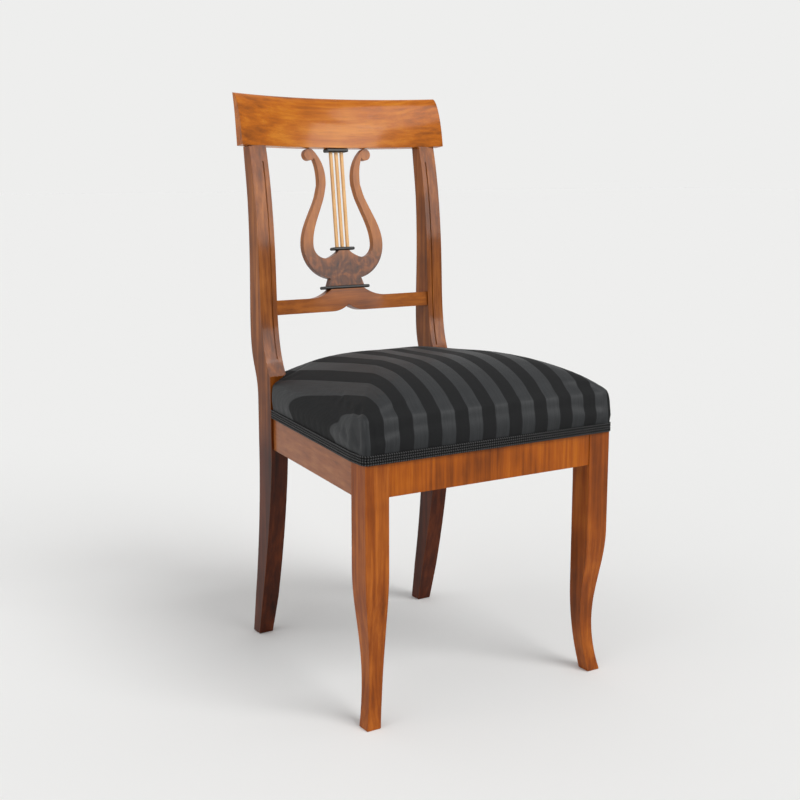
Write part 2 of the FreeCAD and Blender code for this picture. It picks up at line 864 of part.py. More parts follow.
def screw_ways():
    """What the screws take out of the blocks and the rails: the screw and its way in."""
    solids = []
    for head, tip in screw_lines:
        out = (head - tip).normalize()
        way = Part.makeCylinder(3.8, 12, head + (tip - head).normalize() * 4, out)
        solids += [way, way.mirror(vector(0, 0, 0), vector(1, 0, 0))]
    return drawn("screw_ways", Part.makeCompound(solids + screw_set.Shape.Solids))


screw_holes = screw_ways()

keep("seat_rail_front", cut("front_rail_cut", front_rail, [screw_holes]))
keep("seat_rail_back", cut("back_rail_cut", back_rail, [screw_holes]))
rail_right = cut("side_rail_cut", side_rail_right, [screw_holes])
keep("seat_rail_right", rail_right)
keep("seat_rail_left", mirror("side_rail_mirror", rail_right))
for at_front, word in ((True, "front"), (False, "back")):
    block = cut(
        "block_%s_cut" % word, corner_block("block_" + word, at_front), [screw_holes]
    )
    keep("corner_block_%s_right" % word, block)
    keep("corner_block_%s_left" % word, mirror("block_%s_mirror" % word, block))
keep("corner_block_screws", screw_set)


# Back rails, drawn upright in the back frame: X across, Y thickness, Z rise


def lower_rail_template():
    """Front view: a raised saddle for the lyre above, two arcs meeting in a point below."""
    half = size("back_width") / 2 - size("post_width")
    top = size("back_rail_height")
    saddle = size("saddle_half")
    hollow = size("saddle_radius")
    rise = size("saddle_height")
    reach = math.sqrt(hollow ** 2 - (hollow - rise) ** 2)
    notch = size("notch_radius")
    point = size("notch_height")
    span = math.sqrt(notch ** 2 - (notch - point) ** 2)
    edges = []
    for side in (-1, 1):
        start = vector(side * saddle, 0, top + rise)
        end = vector(side * (saddle + reach), 0, top)
        low = vector(side * (saddle + reach), 0, top + hollow)
        half_turn = math.asin(reach / hollow) / 2
        middle = low + vector(
            -side * hollow * math.sin(half_turn), 0, -hollow * math.cos(half_turn)
        )
        edges.append(arc(start, middle, end))
        edges.append(line(end, vector(side * half, 0, top)))
        edges.append(line(vector(side * half, 0, top), vector(side * half, 0, 0)))
        edges.append(line(vector(side * half, 0, 0), vector(side * span, 0, 0)))
        turn = math.asin(span / notch) / 2
        centre = vector(side * span, 0, notch)
        middle = centre + vector(-side * notch * math.sin(turn), 0, -notch * math.cos(turn))
        edges.append(arc(vector(side * span, 0, 0), middle, vector(0, 0, point)))
    edges.append(line(vector(-saddle, 0, top + rise), vector(saddle, 0, top + rise)))
    return drawn("lower_rail_front_view", face(edges))


def bent_board(name, thick, height):
    """A board bent to the back's plan curve, hollow side forward."""
    outer = doc.addObject("Part::Cylinder", name + "_outer")
    inner = doc.addObject("Part::Cylinder", name + "_inner")
    for cylinder, sign in ((outer, "+"), (inner, "-")):
        cylinder.setExpression("Radius", sheet_words("back_radius %s %s / 2" % (sign, thick)))
        cylinder.setExpression("Height", sheet_words(height))
        cylinder.setExpression("Placement.Base.y", "-sizes.back_radius")
    return cut(name, outer, [inner])


lower_rail_board = common(
    "lower_rail_board",
    [
        extrude(
            "lower_rail_sawn", lower_rail_template(), (0, 1, 0), "back_radius / 4", "back_radius / 4"
        ),
        bent_board("lower_rail_bend", "back_rail_thick", "back_rail_height + saddle_height"),
    ],
)

# Heights of the lyre's pieces above the lower back rail's underside
BAR_BOTTOM = "(back_rail_height + saddle_height)"
FOOT_LEVEL = "(back_rail_height + saddle_height + bar_thick)"
foot_level = size("back_rail_height") + size("saddle_height") + size("bar_thick")
lyre_height = size("crest_level") - foot_level


def dowel_holes():
    """Dowels: two from the scrolls into the crest rail, two from the foot into the rail."""
    reach = size("dowel_reach")
    radius = size("dowel_radius")
    solids = []
    for side in (-1, 1):
        solids.append(
            Part.makeCylinder(
                radius,
                2 * reach,
                vector(side * size("scroll_half"), 0, size("crest_level") - reach),
            )
        )
        solids.append(
            Part.makeCylinder(
                radius,
                2 * reach + size("bar_thick"),
                vector(side * size("foot_dowel_half"), 0, foot_level - size("bar_thick") - reach),
            )
        )
    return drawn("dowel_set", Part.makeCompound(solids))


dowels = dowel_holes()


def lyre_template():
    """The lyre: round scrolls, arms drawn in and swelling to the bowl, a peak and a foot."""
    bowl = size("bowl_half")
    bowl_rise = size("bowl_rise")
    big = size("bowl_radius")
    bowl_in = bowl - size("bowl_arm")
    lobe = size("lobe_radius")
    pinch = size("pinch_half")
    pinch_rise = size("pinch_rise")
    pinch_in = pinch - size("pinch_arm")
    flare = size("flare_radius")
    scroll = size("scroll_radius")
    scroll_centre = vector(size("scroll_half"), 0, lyre_height - scroll)
    steps = 8

    def swell(wide, narrow, share):
        return (wide + narrow) / 2 + (wide - narrow) / 2 * math.cos(math.pi * share)

    def side_curve(wide, narrow):
        return [
            vector(
                swell(wide, narrow, i / steps), 0, bowl_rise + (pinch_rise - bowl_rise) * i / steps
            )
            for i in range(steps + 1)
        ]

    up = vector(0, 0, 1)
    outer_arm = spline(side_curve(bowl, pinch), up, up)
    inner_arm = spline(side_curve(bowl_in, pinch_in), up, up)

    # outer arc under the bowl, down to the neck
    big_centre = vector(bowl - big, 0, bowl_rise)
    neck_side = size("neck_half") - big_centre.x
    neck = vector(size("neck_half"), 0, bowl_rise - math.sqrt(big ** 2 - neck_side ** 2))
    turn = math.atan2(neck.z - bowl_rise, neck_side) / 2
    big_arc = arc(
        vector(bowl, 0, bowl_rise),
        big_centre + vector(big * math.cos(turn), 0, big * math.sin(turn)),
        neck,
    )
    foot = vector(size("foot_half"), 0, 0)

    # inner lobe, and the hollow side of the peak under the bridge
    lobe_centre = vector(bowl_in - lobe, 0, bowl_rise)
    low = math.radians(-112)
    lobe_end = lobe_centre + vector(lobe * math.cos(low), 0, lobe * math.sin(low))
    lobe_arc = arc(
        vector(bowl_in, 0, bowl_rise),
        lobe_centre + vector(lobe * math.cos(low / 2), 0, lobe * math.sin(low / 2)),
        lobe_end,
    )
    peak = vector(size("peak_half"), 0, size("peak_rise"))
    leave = vector(math.sin(low), 0, -math.cos(low))
    peak_side = spline([lobe_end, peak], leave * 18, vector(-11, 0, 13))

    # inner arc from the pinch, tangent to the scroll's top
    flare_centre = vector(pinch_in + flare, 0, pinch_rise)
    to_scroll = (scroll_centre - flare_centre).normalize()
    touch = flare_centre + to_scroll * flare
    turn = math.atan2(to_scroll.z, to_scroll.x)
    half_way = (turn + math.pi) / 2
    flare_arc = arc(
        vector(pinch_in, 0, pinch_rise),
        flare_centre + vector(flare * math.cos(half_way), 0, flare * math.sin(half_way)),
        touch,
    )

    # the scroll's circle, round its outer side to the notch where the arm's outer edge meets it
    notch_turn = math.radians(-140)
    notch = scroll_centre + vector(
        scroll * math.cos(notch_turn), 0, scroll * math.sin(notch_turn)
    )
    scroll_arc = arc(touch, scroll_centre + vector(scroll, 0, 0), notch)
    outer_top = spline([vector(pinch, 0, pinch_rise), notch], up * 32, vector(13, 0, 27))

    edges = []
    right_edges = [
        line(foot, neck),
        big_arc,
        outer_arm,
        outer_top,
        scroll_arc,
        flare_arc,
        inner_arm,
        lobe_arc,
        peak_side,
    ]
    for edge in right_edges:
        edges.append(edge)
        edges.append(edge.mirror(vector(0, 0, 0), vector(1, 0, 0)))
    edges.append(line(vector(-foot.x, 0, 0), foot))
    edges.append(line(vector(-peak.x, 0, peak.z), peak))
    outline = face(edges)
    outline.translate(vector(0, 0, foot_level))
    return drawn("lyre_front_view", outline)


lyre_board = extrude(
    "lyre_board", lyre_template(), (0, 1, 0), "lyre_thick / 2", "lyre_thick / 2"
)


def flat_bar(name, length, deep, bottom, thick):
    """A black bar: a flat board with rounded edges all round."""
    body = doc.addObject("PartDesign::Body", name)
    plan = polygon(
        body,
        name + "_plan",
        "XY_Plane",
        bottom,
        [
            ("-%s / 2" % length, "-%s / 2" % deep),
            ("%s / 2" % length, "-%s / 2" % deep),
            ("%s / 2" % length, "%s / 2" % deep),
            ("-%s / 2" % length, "%s / 2" % deep),
        ],
    )
    board = pad(body, name + "_board", plan, thick)
    doc.recompute()
    rounding = body.newObject("PartDesign::Fillet", name + "_round")
    level_edges = [
        "Edge%d" % (i + 1)
        for i, edge in enumerate(board.Shape.Edges)
        if abs(edge.Vertexes[0].Z - edge.Vertexes[-1].Z) < 1e-6
    ]
    rounding.Base = (board, level_edges)
    rounding.setExpression("Radius", "sizes.bar_round")
    doc.recompute()
    return body


base_bar = flat_bar(
    "base_bar_body", "base_bar_length", "base_bar_deep", BAR_BOTTOM, "bar_thick"
)
bridge = flat_bar(
    "bridge_body",
    "small_bar_length",
    "small_bar_deep",
    "(%s + peak_rise)" % FOOT_LEVEL,
    "bar_thick",
)
collar = flat_bar(
    "collar_body",
    "small_bar_length",
    "small_bar_deep",
    "(crest_level - collar_thick)",
    "collar_thick",
)

string_blocks = []
for place, word in ((-1, "left"), (0, "middle"), (1, "right")):
    bottom = "%s + peak_rise + bar_thick - string_socket" % FOOT_LEVEL
    corner = ("%d * string_pitch - string_width / 2" % place, "-string_deep / 2", bottom)
    lengths = (
        "string_width",
        "string_deep",
        "crest_level - collar_thick + string_socket - (%s)" % bottom,
    )
    string_blocks.append(box("string_%s_socket" % word, corner, lengths))
    keep("lyre_string_" + word, leaned_box("string_" + word, corner, lengths))

keep("lyre_frame", back_frame(cut("lyre_cut", lyre_board, [dowels])))
keep("lyre_base_bar", back_frame(cut("base_bar_cut", base_bar, [dowels])))
keep("lyre_bridge", back_frame(cut("bridge_cut", bridge, string_blocks)))
keep("lyre_top_collar", back_frame(cut("collar_cut", collar, string_blocks)))
keep("lyre_dowels", back_frame(drawn("dowels_leaned", dowels.Shape.copy())))

tenon_right = box(
    "lower_rail_tenon_right",
    (
        RAIL_END + " - 8",
        "0 - %s - tenon_thick / 2" % END_SAG,
        "back_rail_height / 6",
    ),
    ("back_tenon_length + 8", "tenon_thick", "back_rail_height * 2 / 3"),
)
lower_rail = fuse(
    "lower_rail_fused",
    [lower_rail_board, tenon_right, mirror("lower_rail_tenon_left", tenon_right)],
)
keep("lower_back_rail", back_frame(cut("lower_rail_cut", lower_rail, [dowels])))


def crest_section():
    """Section of the crest rail: an elliptical front rolled back to a flared top."""
    half = size("crest_thick") / 2
    high = size("crest_height")
    roll = size("crest_roll")
    flare = size("crest_flare")
    centre = vector(0, roll - half, 0)
    points = []
    for i in range(7):
        turn = math.pi / 2 * i / 6
        points.append(centre + vector(0, -roll * math.cos(turn), high * math.sin(turn)))
    back_top = vector(0, roll - half, high)
    back_mid = vector(0, half, high * 0.45)
    edges = [
        spline(points, vector(0, 0, 1), vector(0, 1, 0)),
        spline([back_mid, back_top], vector(0, 0, -1) * -40, vector(0, flare, 25)),
        line(back_mid, vector(0, half, 0)),
        line(vector(0, half, 0), vector(0, -half, 0)),
    ]
    outline = face(edges)
    outline.translate(vector(0, 0, size("crest_level")))
    return drawn("crest_section", outline)


crest_bend = doc.addObject("Part::Revolution", "crest_bend")
crest_bend.Source = crest_section()
crest_bend.Axis = vector(0, 0, 1)
crest_bend.setExpression("Base.y", "-sizes.back_radius")
crest_bend.Symmetric = True
crest_bend.Solid = True
crest_bend.setExpression("Angle", "2 * asin(sizes.crest_length / 2 / sizes.back_radius) + 4 deg")
crest_length_box = box(
    "crest_length_box",
    ("-crest_length / 2", "-back_radius / 2", "crest_level - 1"),
    ("crest_length", "back_radius", "crest_height + 2"),
)
crest_board = common("crest_board", [crest_bend, crest_length_box])


def upright_tenon_hole(name):
    """The post tenon's socket in the crest rail's upright drawing."""
    return box(
        name,
        (
            "%s - post_tenon_wide / 2 - joint_play" % POST_MIDDLE,
            "0 - %s - post_tenon_thick / 2 - joint_play" % POST_SAG,
            "crest_level - 6",
        ),
        (
            "post_tenon_wide + 2 * joint_play",
            "post_tenon_thick + 2 * joint_play",
            "post_tenon_length + 6 + end_play",
        ),
    )


hole_right = upright_tenon_hole("crest_hole_right")
crest = cut(
    "crest_cut", crest_board, [hole_right, mirror("crest_hole_left", hole_right), dowels]
)
keep("crest_rail", back_frame(crest))


# Upholstery, from the webbing up

STRAPS = (-1, 0, 1)
web_middle = (post_face - size("leg_square") / 2 - size("front_face")) / 2 + size("leg_square") / 2


def strap(start, end, first_up, origin, direction):
    """A woven strap seen from its side: over and under its crossings, flat on the rails."""
    low = size("rail_top")
    rise = 2 * size("web_weave")
    pitch = size("web_pitch")
    flat = size("web_width") / 2 + 2
    points = [(start, low), (start + size("web_hold") + 6, low)]
    for place in STRAPS:
        level = low + (rise if (place % 2 == 0) == first_up else 0)
        points += [(origin + place * pitch - flat, level), (origin + place * pitch + flat, level)]
    points += [(end - size("web_hold") - 6, low), (end, low)]
    thick = size("web_thick")
    loop = [direction(along, level) for along, level in points]
    loop += [direction(along, level + thick) for along, level in reversed(points)]
    return Part.Face(Part.makePolygon(loop + loop[:1]))


for place in STRAPS:
    front = size("front_rail_set") - size("front_face") + size("rail_thick") - size("web_hold")
    rear = (
        post_face
        + size("post_seat_depth")
        - size("back_rail_set")
        - size("rail_thick")
        + size("web_hold")
    )
    profile = strap(front, rear, place % 2 == 0, web_middle, lambda along, z: vector(0, along, z))
    profile.translate(vector(place * size("web_pitch"), 0, 0))
    keep(
        "webbing_lengthwise_" + {-1: "left", 0: "middle", 1: "right"}[place],
        extrude(
            "strap_long_%d" % (place + 2),
            drawn("strap_long_%d_side" % (place + 2), profile),
            (1, 0, 0),
            "web_width / 2",
            "web_width / 2",
        ),
    )
for place in STRAPS:
    y = web_middle + place * size("web_pitch")
    reach = side_out_at(y) - size("rail_thick") + size("web_hold")
    profile = strap(-reach, reach, place % 2 != 0, 0, lambda along, z: vector(along, 0, z))
    profile.translate(vector(0, y, 0))
    keep(
        "webbing_crosswise_" + {-1: "front", 0: "middle", 1: "back"}[place],
        extrude(
            "strap_cross_%d" % (place + 2),
            drawn("strap_cross_%d_side" % (place + 2), profile),
            (0, 1, 0),
            "web_width / 2",
            "web_width / 2",
        ),
    )


def seat_outline(swell, level, fall=0.0):
    """Plan of the seat at a level, the frame's outer faces moved out by the swell."""
    front_y = -size("front_face") - swell
    rear_y = post_face + size("post_seat_depth") - size("back_rail_set") + swell
    leg_y = size("leg_square") - size("front_face")
    leg_x = size("front_width") / 2 + swell
    bend_x = side_out_at(leg_y) + swell
    slope = (side_out_at(leg_y) - side_out_at(post_face)) / (post_face - leg_y)
    rear_x = bend_x - slope * (rear_y - leg_y)
    drawn_in = max(0.0, -swell)
    corner = size("seat_corner") + 0.3 * drawn_in
    rear_corner = 2 + 0.2 * drawn_in
    leg_y = max(leg_y, front_y + corner + 1)
    diagonal = math.sqrt(0.5)
    middle = (front_y + rear_y) / 2

    def at(x, y):
        return vector(x, y, level - fall * (y - middle) / (post_face - middle))

    half = [
        at(leg_x - corner, front_y),
        at(leg_x - corner * (1 - diagonal), front_y + corner * (1 - diagonal)),
        at(leg_x, front_y + corner),
        at(bend_x, leg_y),
        at(rear_x + slope * rear_corner, rear_y - rear_corner),
        at(rear_x - rear_corner * (1 - diagonal), rear_y - rear_corner * (1 - diagonal)),
        at(rear_x - rear_corner, rear_y),
    ]
    other = [vector(-p.x, p.y, p.z) for p in reversed(half)]
    edges = [
        line(other[6], half[0]),
        arc(half[0], half[1], half[2]),
        line(half[2], half[3]),
        line(half[3], half[4]),
        arc(half[4], half[5], half[6]),
        line(half[6], other[0]),
        arc(other[0], other[1], other[2]),
        line(other[2], other[3]),
        line(other[3], other[4]),
        arc(other[4], other[5], other[6]),
    ]
    return Part.Wire(edges)


def seat_sections():
    """Swell, level and fall of each section, from the skirt over the edge roll to the crown."""
    skirt = size("cover_level")
    roll = size("roll_level")
    swell = size("roll_swell")
    crown = size("crown_level")
    side = size("cover_play") + size("cover_thick")
    fall = size("roll_fall")
    rows = [(side, skirt, 0.0), (side, skirt + 14, 0.0)]
    for i in range(1, 4):
        share = i / 3
        level = skirt + 14 + (roll - skirt - 14) * share
        rows.append((side + swell * math.sin(0.8 * math.pi * share), level, fall * share))
    edge = rows[-1][0]
    round_over = size("roll_turn")
    for i in range(1, 4):
        turn = math.pi / 6 * i * 0.85
        out = edge - round_over * (1 - math.cos(turn))
        rows.append((out, roll + round_over * math.sin(turn), fall))
    edge, level, fall = rows[-1]
    reach = (size("front_width") + size("back_width")) / 4 - size("crown_flat")
    for i in range(1, 7):
        share = (i / 6) ** 1.27
        rise = (crown - level) * (1 - (1 - share) ** 2.08)
        rows.append((edge - reach * share, level + rise, fall))
    return rows


def seat_form(name, depth):
    """The seat's outer form, or the form at a depth under it."""
    rows = seat_sections()
    wires = []
    for i, (swell, level, fall) in enumerate(rows):
        if i == 0:
            across, up = 1.0, 0.0
        elif i == len(rows) - 1:
            across, up = 0.0, 1.0
        else:
            across = rows[i + 1][1] - rows[i - 1][1]
            up = rows[i - 1][0] - rows[i + 1][0]
            length = math.hypot(across, up)
            across, up = across / length, up / length
        wires.append(seat_outline(swell - depth * across, level - depth * up, fall))
    return drawn(name, Part.makeLoft(wires, True, True))


def post_notch(name, play, bottom):
    """Room for the right-hand post, and its mirror image."""
    right = box(
        name,
        ("%s - %s" % (RAIL_END, play), "%s - %s" % (BACK_SHOULDER, play), bottom),
        ("front_width", "post_distance", "crown_level"),
    )
    return [right, mirror(name + "_left", right)]


SHEETS = "(rail_top + web_thick + 2 * web_weave)"
cover_outside = cut(
    "cover_outside", seat_form("seat_form", 0), post_notch("cover_notch", "post_play", "0")
)
cover_inside = cut(
    "cover_inside",
    seat_form("seat_lining_form", size("cover_thick")),
    post_notch("lining_notch", "(post_play + cover_thick)", "(rail_top + 1)"),
)
keep("seat_cover", cut("seat_cover_cut", cover_outside, [cover_inside]))
pad_outside = cut(
    "pad_outside",
    seat_form("seat_pad_form", size("cover_thick") + size("cover_play")),
    post_notch("pad_notch", "(post_play + cover_thick + cover_play)", "0"),
)
pad_below = box(
    "pad_below",
    ("-front_width", "-front_width", "0"),
    ("2 * front_width", "2 * front_width", "%s + hessian_thick + 2 * cover_play" % SHEETS),
)
keep("seat_pad", cut("seat_pad_cut", pad_outside, [pad_below]))


def plan_slab(name, wire, bottom, thick):
    """A flat sheet with the given plan."""
    item = drawn(name + "_plan", Part.Face(wire))
    sheet_solid = extrude(name, item, (0, 0, 1), thick)
    sheet_solid.setExpression("Placement.Base.z", sheet_words(bottom))
    return sheet_solid


hessian = cut(
    "hessian_cut",
    plan_slab("hessian_sheet", seat_outline(-6, 0), "%s + cover_play" % SHEETS, "hessian_thick"),
    post_notch("hessian_notch", "(post_play + 3)", "0"),
)
keep("hessian", hessian)


def braid(name, rows):
    """Braid round the front and the sides, in two rounded rows on a thin web."""
    side = size("cover_play") + size("cover_thick")
    low = size("gimp_level")
    high = size("gimp_height")
    thick = size("gimp_thick")
    inner = Part.Face(seat_outline(side, low)).extrude(vector(0, 0, high))
    web = Part.Face(seat_outline(side + thick / 2, low + 0.5)).extrude(vector(0, 0, high - 1))
    parts = [web]
    for i in range(rows):
        tall = high / rows - 0.5
        bottom = low + i * (high / rows) + 0.25
        row = Part.Face(seat_outline(side + thick, bottom)).extrude(vector(0, 0, tall))
        rims = [
            edge
            for edge in row.Edges
            if abs(edge.BoundBox.ZMax - edge.BoundBox.ZMin) < 1e-6
        ]
        parts.append(row.makeFillet(thick * 0.75, rims))
    return drawn(name, parts[0].multiFuse(parts[1:]).cut(inner))


braid_ring = braid("braid_ring", 2)
behind_seat = box(
    "behind_seat",
    ("-front_width", "%s - post_play" % BACK_SHOULDER, "0"),
    ("2 * front_width", "post_distance", "rail_top"),
)
keep("gimp_braid", cut("gimp_front", braid_ring, [behind_seat]))
between_posts = box(
    "between_posts",
    ("-%s + post_play" % RAIL_END, "%s + 2" % BACK_SHOULDER, "0"),
    ("2 * %s - 2 * post_play" % RAIL_END, "post_distance", "rail_top"),
)
keep("gimp_braid_back", common("gimp_back", [braid_ring, between_posts]))


def lining():
    """The cloth tacked under the rails; it follows their slope and clears the legs."""
    thick = size("lining_thick")
    inset = size("lining_inset")
    leg_y = size("leg_square") - size("front_face")
    rail_y = size("front_rail_set") - size("front_face")
    rear_y = post_face + size("post_seat_depth") - size("back_rail_set")
    low = size("rail_bottom")
    drop = size("rail_drop")
    top = [
        vector(0, rail_y - 5, low),
        vector(0, leg_y, low),
        vector(0, post_face, low - drop),
        vector(0, rear_y + 5, low - drop),
    ]
    under = [point - vector(0, 0, thick) for point in reversed(top)]
    side = Part.Face(Part.makePolygon(top + under + top[:1]))
    half = [
        vector(size("front_width") / 2 - size("leg_square") - 2, rail_y + inset),
        vector(size("front_width") / 2 - size("leg_square") - 2, leg_y + 2),
        vector(side_out_at(leg_y) - inset, leg_y + 2),
        vector(side_out_at(post_face) - inset, post_face - 2),
        vector(size("back_width") / 2 - size("post_width") - 2, post_face - 2),
        vector(size("back_width") / 2 - size("post_width") - 2, rear_y - inset),
    ]
    loop = half + [vector(-p.x, p.y) for p in reversed(half)]
    plan = Part.Face(Part.makePolygon(loop + loop[:1]))
    across = extrude(
        "lining_from_side", drawn("lining_side", side), (1, 0, 0), "front_width", "front_width"
    )
    above = extrude("lining_from_above", drawn("lining_plan", plan), (0, 0, 1), "rail_top")
    return common("lining_common", [across, above])


keep("dust_cover", lining())

doc.recompute()

faults = [item.Name for item in doc.Objects if {"Invalid", "Error"} & set(item.State)]
for label, item in pieces.items():
    if item.Shape.isNull() or not item.Shape.isValid() or not item.Shape.Solids:
        faults.append(label)
if faults:
    raise RuntimeError("failed: " + ", ".join(faults))

os.makedirs("parts", exist_ok=True)
for label, item in pieces.items():
    item.Shape.exportStep("parts/%s.step" % label)
print("pieces:", len(pieces))
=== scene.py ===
import math

import bpy
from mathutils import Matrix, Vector


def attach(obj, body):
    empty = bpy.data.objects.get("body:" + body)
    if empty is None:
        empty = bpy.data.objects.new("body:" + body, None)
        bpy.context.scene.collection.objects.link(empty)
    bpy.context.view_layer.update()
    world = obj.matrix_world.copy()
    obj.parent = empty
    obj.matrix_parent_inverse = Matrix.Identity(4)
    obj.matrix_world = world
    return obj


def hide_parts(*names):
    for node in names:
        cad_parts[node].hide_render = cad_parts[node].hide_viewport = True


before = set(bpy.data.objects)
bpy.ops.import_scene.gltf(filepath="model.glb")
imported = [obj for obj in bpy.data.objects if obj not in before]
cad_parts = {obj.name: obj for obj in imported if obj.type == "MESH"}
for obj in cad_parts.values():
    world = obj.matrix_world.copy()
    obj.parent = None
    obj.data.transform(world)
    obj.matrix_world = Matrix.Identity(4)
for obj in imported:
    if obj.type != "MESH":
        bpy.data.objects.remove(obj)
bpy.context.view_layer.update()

# Front legs
# Two square legs of solid wood, curved in to an ankle and out to a toe on their outer faces.
# The wood is French-polished, with its grain running down the leg and its edges painted pale as a
# highlight.


def srgb(red, green, blue):
    """A colour written as the eye sees it, 0 to 255, as the light that it stands for."""
    parts = []
    for value in (red, green, blue):
        share = value / 255
        parts.append(share / 12.92 if share <= 0.04045 else ((share + 0.055) / 1.055) ** 2.4)
    return (*parts, 1.0)


class Finish:
    """A material and short words for joining its nodes."""

    def __init__(self, name):
        self.material = bpy.data.materials.new(name)
        self.material.use_nodes = True
        self.tree = self.material.node_tree
        self.shader = self.tree.nodes["Principled BSDF"]

    def node(self, kind, **sockets):
        made = self.tree.nodes.new(kind)
        for name, value in sockets.items():
            socket = made.inputs[name.replace("_", " ")]
            if isinstance(value, bpy.types.NodeSocket):
                self.tree.links.new(value, socket)
            else:
                socket.default_value = value
        return made

    def math(self, operation, first, second=0.0, clamp=False):
        made = self.tree.nodes.new("ShaderNodeMath")
        made.operation = operation
        made.use_clamp = clamp
        for socket, value in zip(made.inputs, (first, second)):
            if isinstance(value, bpy.types.NodeSocket):
                self.tree.links.new(value, socket)
            else:
                socket.default_value = value
        return made.outputs[0]

    def ramp(self, share, stops):
        made = self.node("ShaderNodeValToRGB", Fac=share)
        band = made.color_ramp
        while len(band.elements) < len(stops):
            band.elements.new(0.5)
        for element, (place, colour) in zip(band.elements, stops):
            element.position = place
            element.color = colour
        return made.outputs["Color"]

    def mix(self, share, first, second, way="MIX"):
        made = self.tree.nodes.new("ShaderNodeMix")
        made.data_type = "RGBA"
        made.blend_type = way
        sockets = (made.inputs[0], made.inputs[6], made.inputs[7])
        for socket, value in zip(sockets, (share, first, second)):
            if isinstance(value, bpy.types.NodeSocket):
                self.tree.links.new(value, socket)
            else:
                socket.default_value = value
        return made.outputs[2]

    def place(self, turn=(0, 0, 0), scale=(1, 1, 1), shift=(0, 0, 0)):
        where = self.tree.nodes.new("ShaderNodeTexCoord")
        made = self.node("ShaderNodeMapping", Vector=where.outputs["Object"])
        made.inputs["Location"].default_value = shift
        made.inputs["Rotation"].default_value = turn
        made.inputs["Scale"].default_value = scale
        return made.outputs["Vector"]

    def set(self, **sockets):
        for name, value in sockets.items():
            socket = self.shader.inputs[name.replace("_", " ")]
            if isinstance(value, bpy.types.NodeSocket):
                self.tree.links.new(value, socket)
            else:
                socket.default_value = value


ALONG = {
    "up": (0.0, 0.0, 0.0),
    "across": (0.0, math.pi / 2, 0.0),
    "back": (math.pi / 2, 0.0, 0.0),
}


def polished_wood(
    name, pale, middle, dark, grain="up", shift=(0, 0, 0), figure=1.0, gloss=0.30, under_seat_shade=None
):
    """Polished wood: fine streaks along the grain, dark pores, cloudy polish and edges painted pale
    as a highlight.

    The low tone, when given, darkens the wood from about the seat down as painted shade under the
    seat.
    """
    wood = Finish(name)
    long_way = wood.place(ALONG[grain], (1, 1, 1), shift)
    squash = wood.node("ShaderNodeMapping", Vector=long_way)
    squash.inputs["Scale"].default_value = (1, 1, 0.045)
    drawn = squash.outputs["Vector"]
    growth = wood.node("ShaderNodeTexNoise", Vector=drawn, Scale=13, Detail=2, Distortion=0.3)
    streaks = wood.node("ShaderNodeTexNoise", Vector=drawn, Scale=120, Detail=5, Roughness=0.65)
    pores = wood.node("ShaderNodeTexNoise", Vector=drawn, Scale=900, Detail=2, Roughness=0.5)
    clouds = wood.node("ShaderNodeTexNoise", Vector=long_way, Scale=11, Detail=3)
    rings = wood.math("SINE", wood.math("MULTIPLY", growth.outputs["Fac"], 58.0))
    share = wood.math("ADD", wood.math("MULTIPLY", rings, 0.045 * figure), 0.5)
    for part, level in ((streaks, 0.3 + 0.5 * figure), (clouds, 0.2 + 0.4 * figure)):
        swing = wood.math("SUBTRACT", part.outputs["Fac"], 0.5)
        share = wood.math("ADD", share, wood.math("MULTIPLY", swing, level))
    colour = wood.ramp(share, [(0.28, pale), (0.50, middle), (0.76, dark)])
    pore_share = wood.ramp(pores.outputs["Fac"], [(0.58, (0, 0, 0, 1)), (0.72, (1, 1, 1, 1))])
    colour = wood.mix(wood.math("MULTIPLY", pore_share, 0.25), colour, dark)
    # Painted shade: the wood is darkened from about the seat down, for the shade under the seat.
    if under_seat_shade:
        height = wood.node("ShaderNodeSeparateXYZ", Vector=wood.place()).outputs["Z"]
        low = wood.math("MULTIPLY", wood.math("SUBTRACT", 0.52, height), 5.0, clamp=True)
        colour = wood.mix(low, colour, under_seat_shade, "MULTIPLY")
    # The bevel rounds the shading of the edges, and its mask also paints the edges pale: a painted
    # highlight along the eased edges.
    round_edge = wood.tree.nodes.new("ShaderNodeBevel")
    round_edge.samples = 4
    round_edge.inputs["Radius"].default_value = 0.0014
    facing = wood.tree.nodes.new("ShaderNodeNewGeometry")
    agree = wood.tree.nodes.new("ShaderNodeVectorMath")
    agree.operation = "DOT_PRODUCT"
    wood.tree.links.new(round_edge.outputs[0], agree.inputs[0])
    wood.tree.links.new(facing.outputs["Normal"], agree.inputs[1])
    edge = wood.math("SUBTRACT", 1.0, agree.outputs["Value"])
    edge = wood.math("MULTIPLY", edge, 2.2, clamp=True)
    colour = wood.mix(wood.math("MULTIPLY", edge, 0.5), colour, pale)
    rough = wood.math("MULTIPLY", clouds.outputs["Fac"], 0.12)
    rough = wood.math("ADD", rough, gloss)
    bump = wood.node("ShaderNodeBump", Strength=0.3, Distance=0.0002)
    wood.tree.links.new(pores.outputs["Fac"], bump.inputs["Height"])
    wood.tree.links.new(round_edge.outputs[0], bump.inputs["Normal"])
    wood.set(
        Base_Color=colour,
        Roughness=rough,
        Normal=bump.outputs["Normal"],
        Specular_IOR_Level=0.10,
        Coat_Weight=0.18,
        Coat_Roughness=0.10,
    )
    return wood.material


def dress(material, *names):
    """Give CAD pieces their finish."""
    for name in names:
        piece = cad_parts[name]
        if not piece.material_slots:
            piece.data.materials.append(material)
        for place in piece.material_slots:
            place.material = material


LEG_PALE = srgb(178, 98, 28)
LEG_MIDDLE = srgb(140, 68, 12)
LEG_DARK = srgb(92, 42, 6)
for number, name in enumerate(("front_leg_left", "front_leg_right")):
    dress(polished_wood(name, LEG_PALE, LEG_MIDDLE, LEG_DARK, shift=(0.3 * number, 0.1, 0.7)), name)
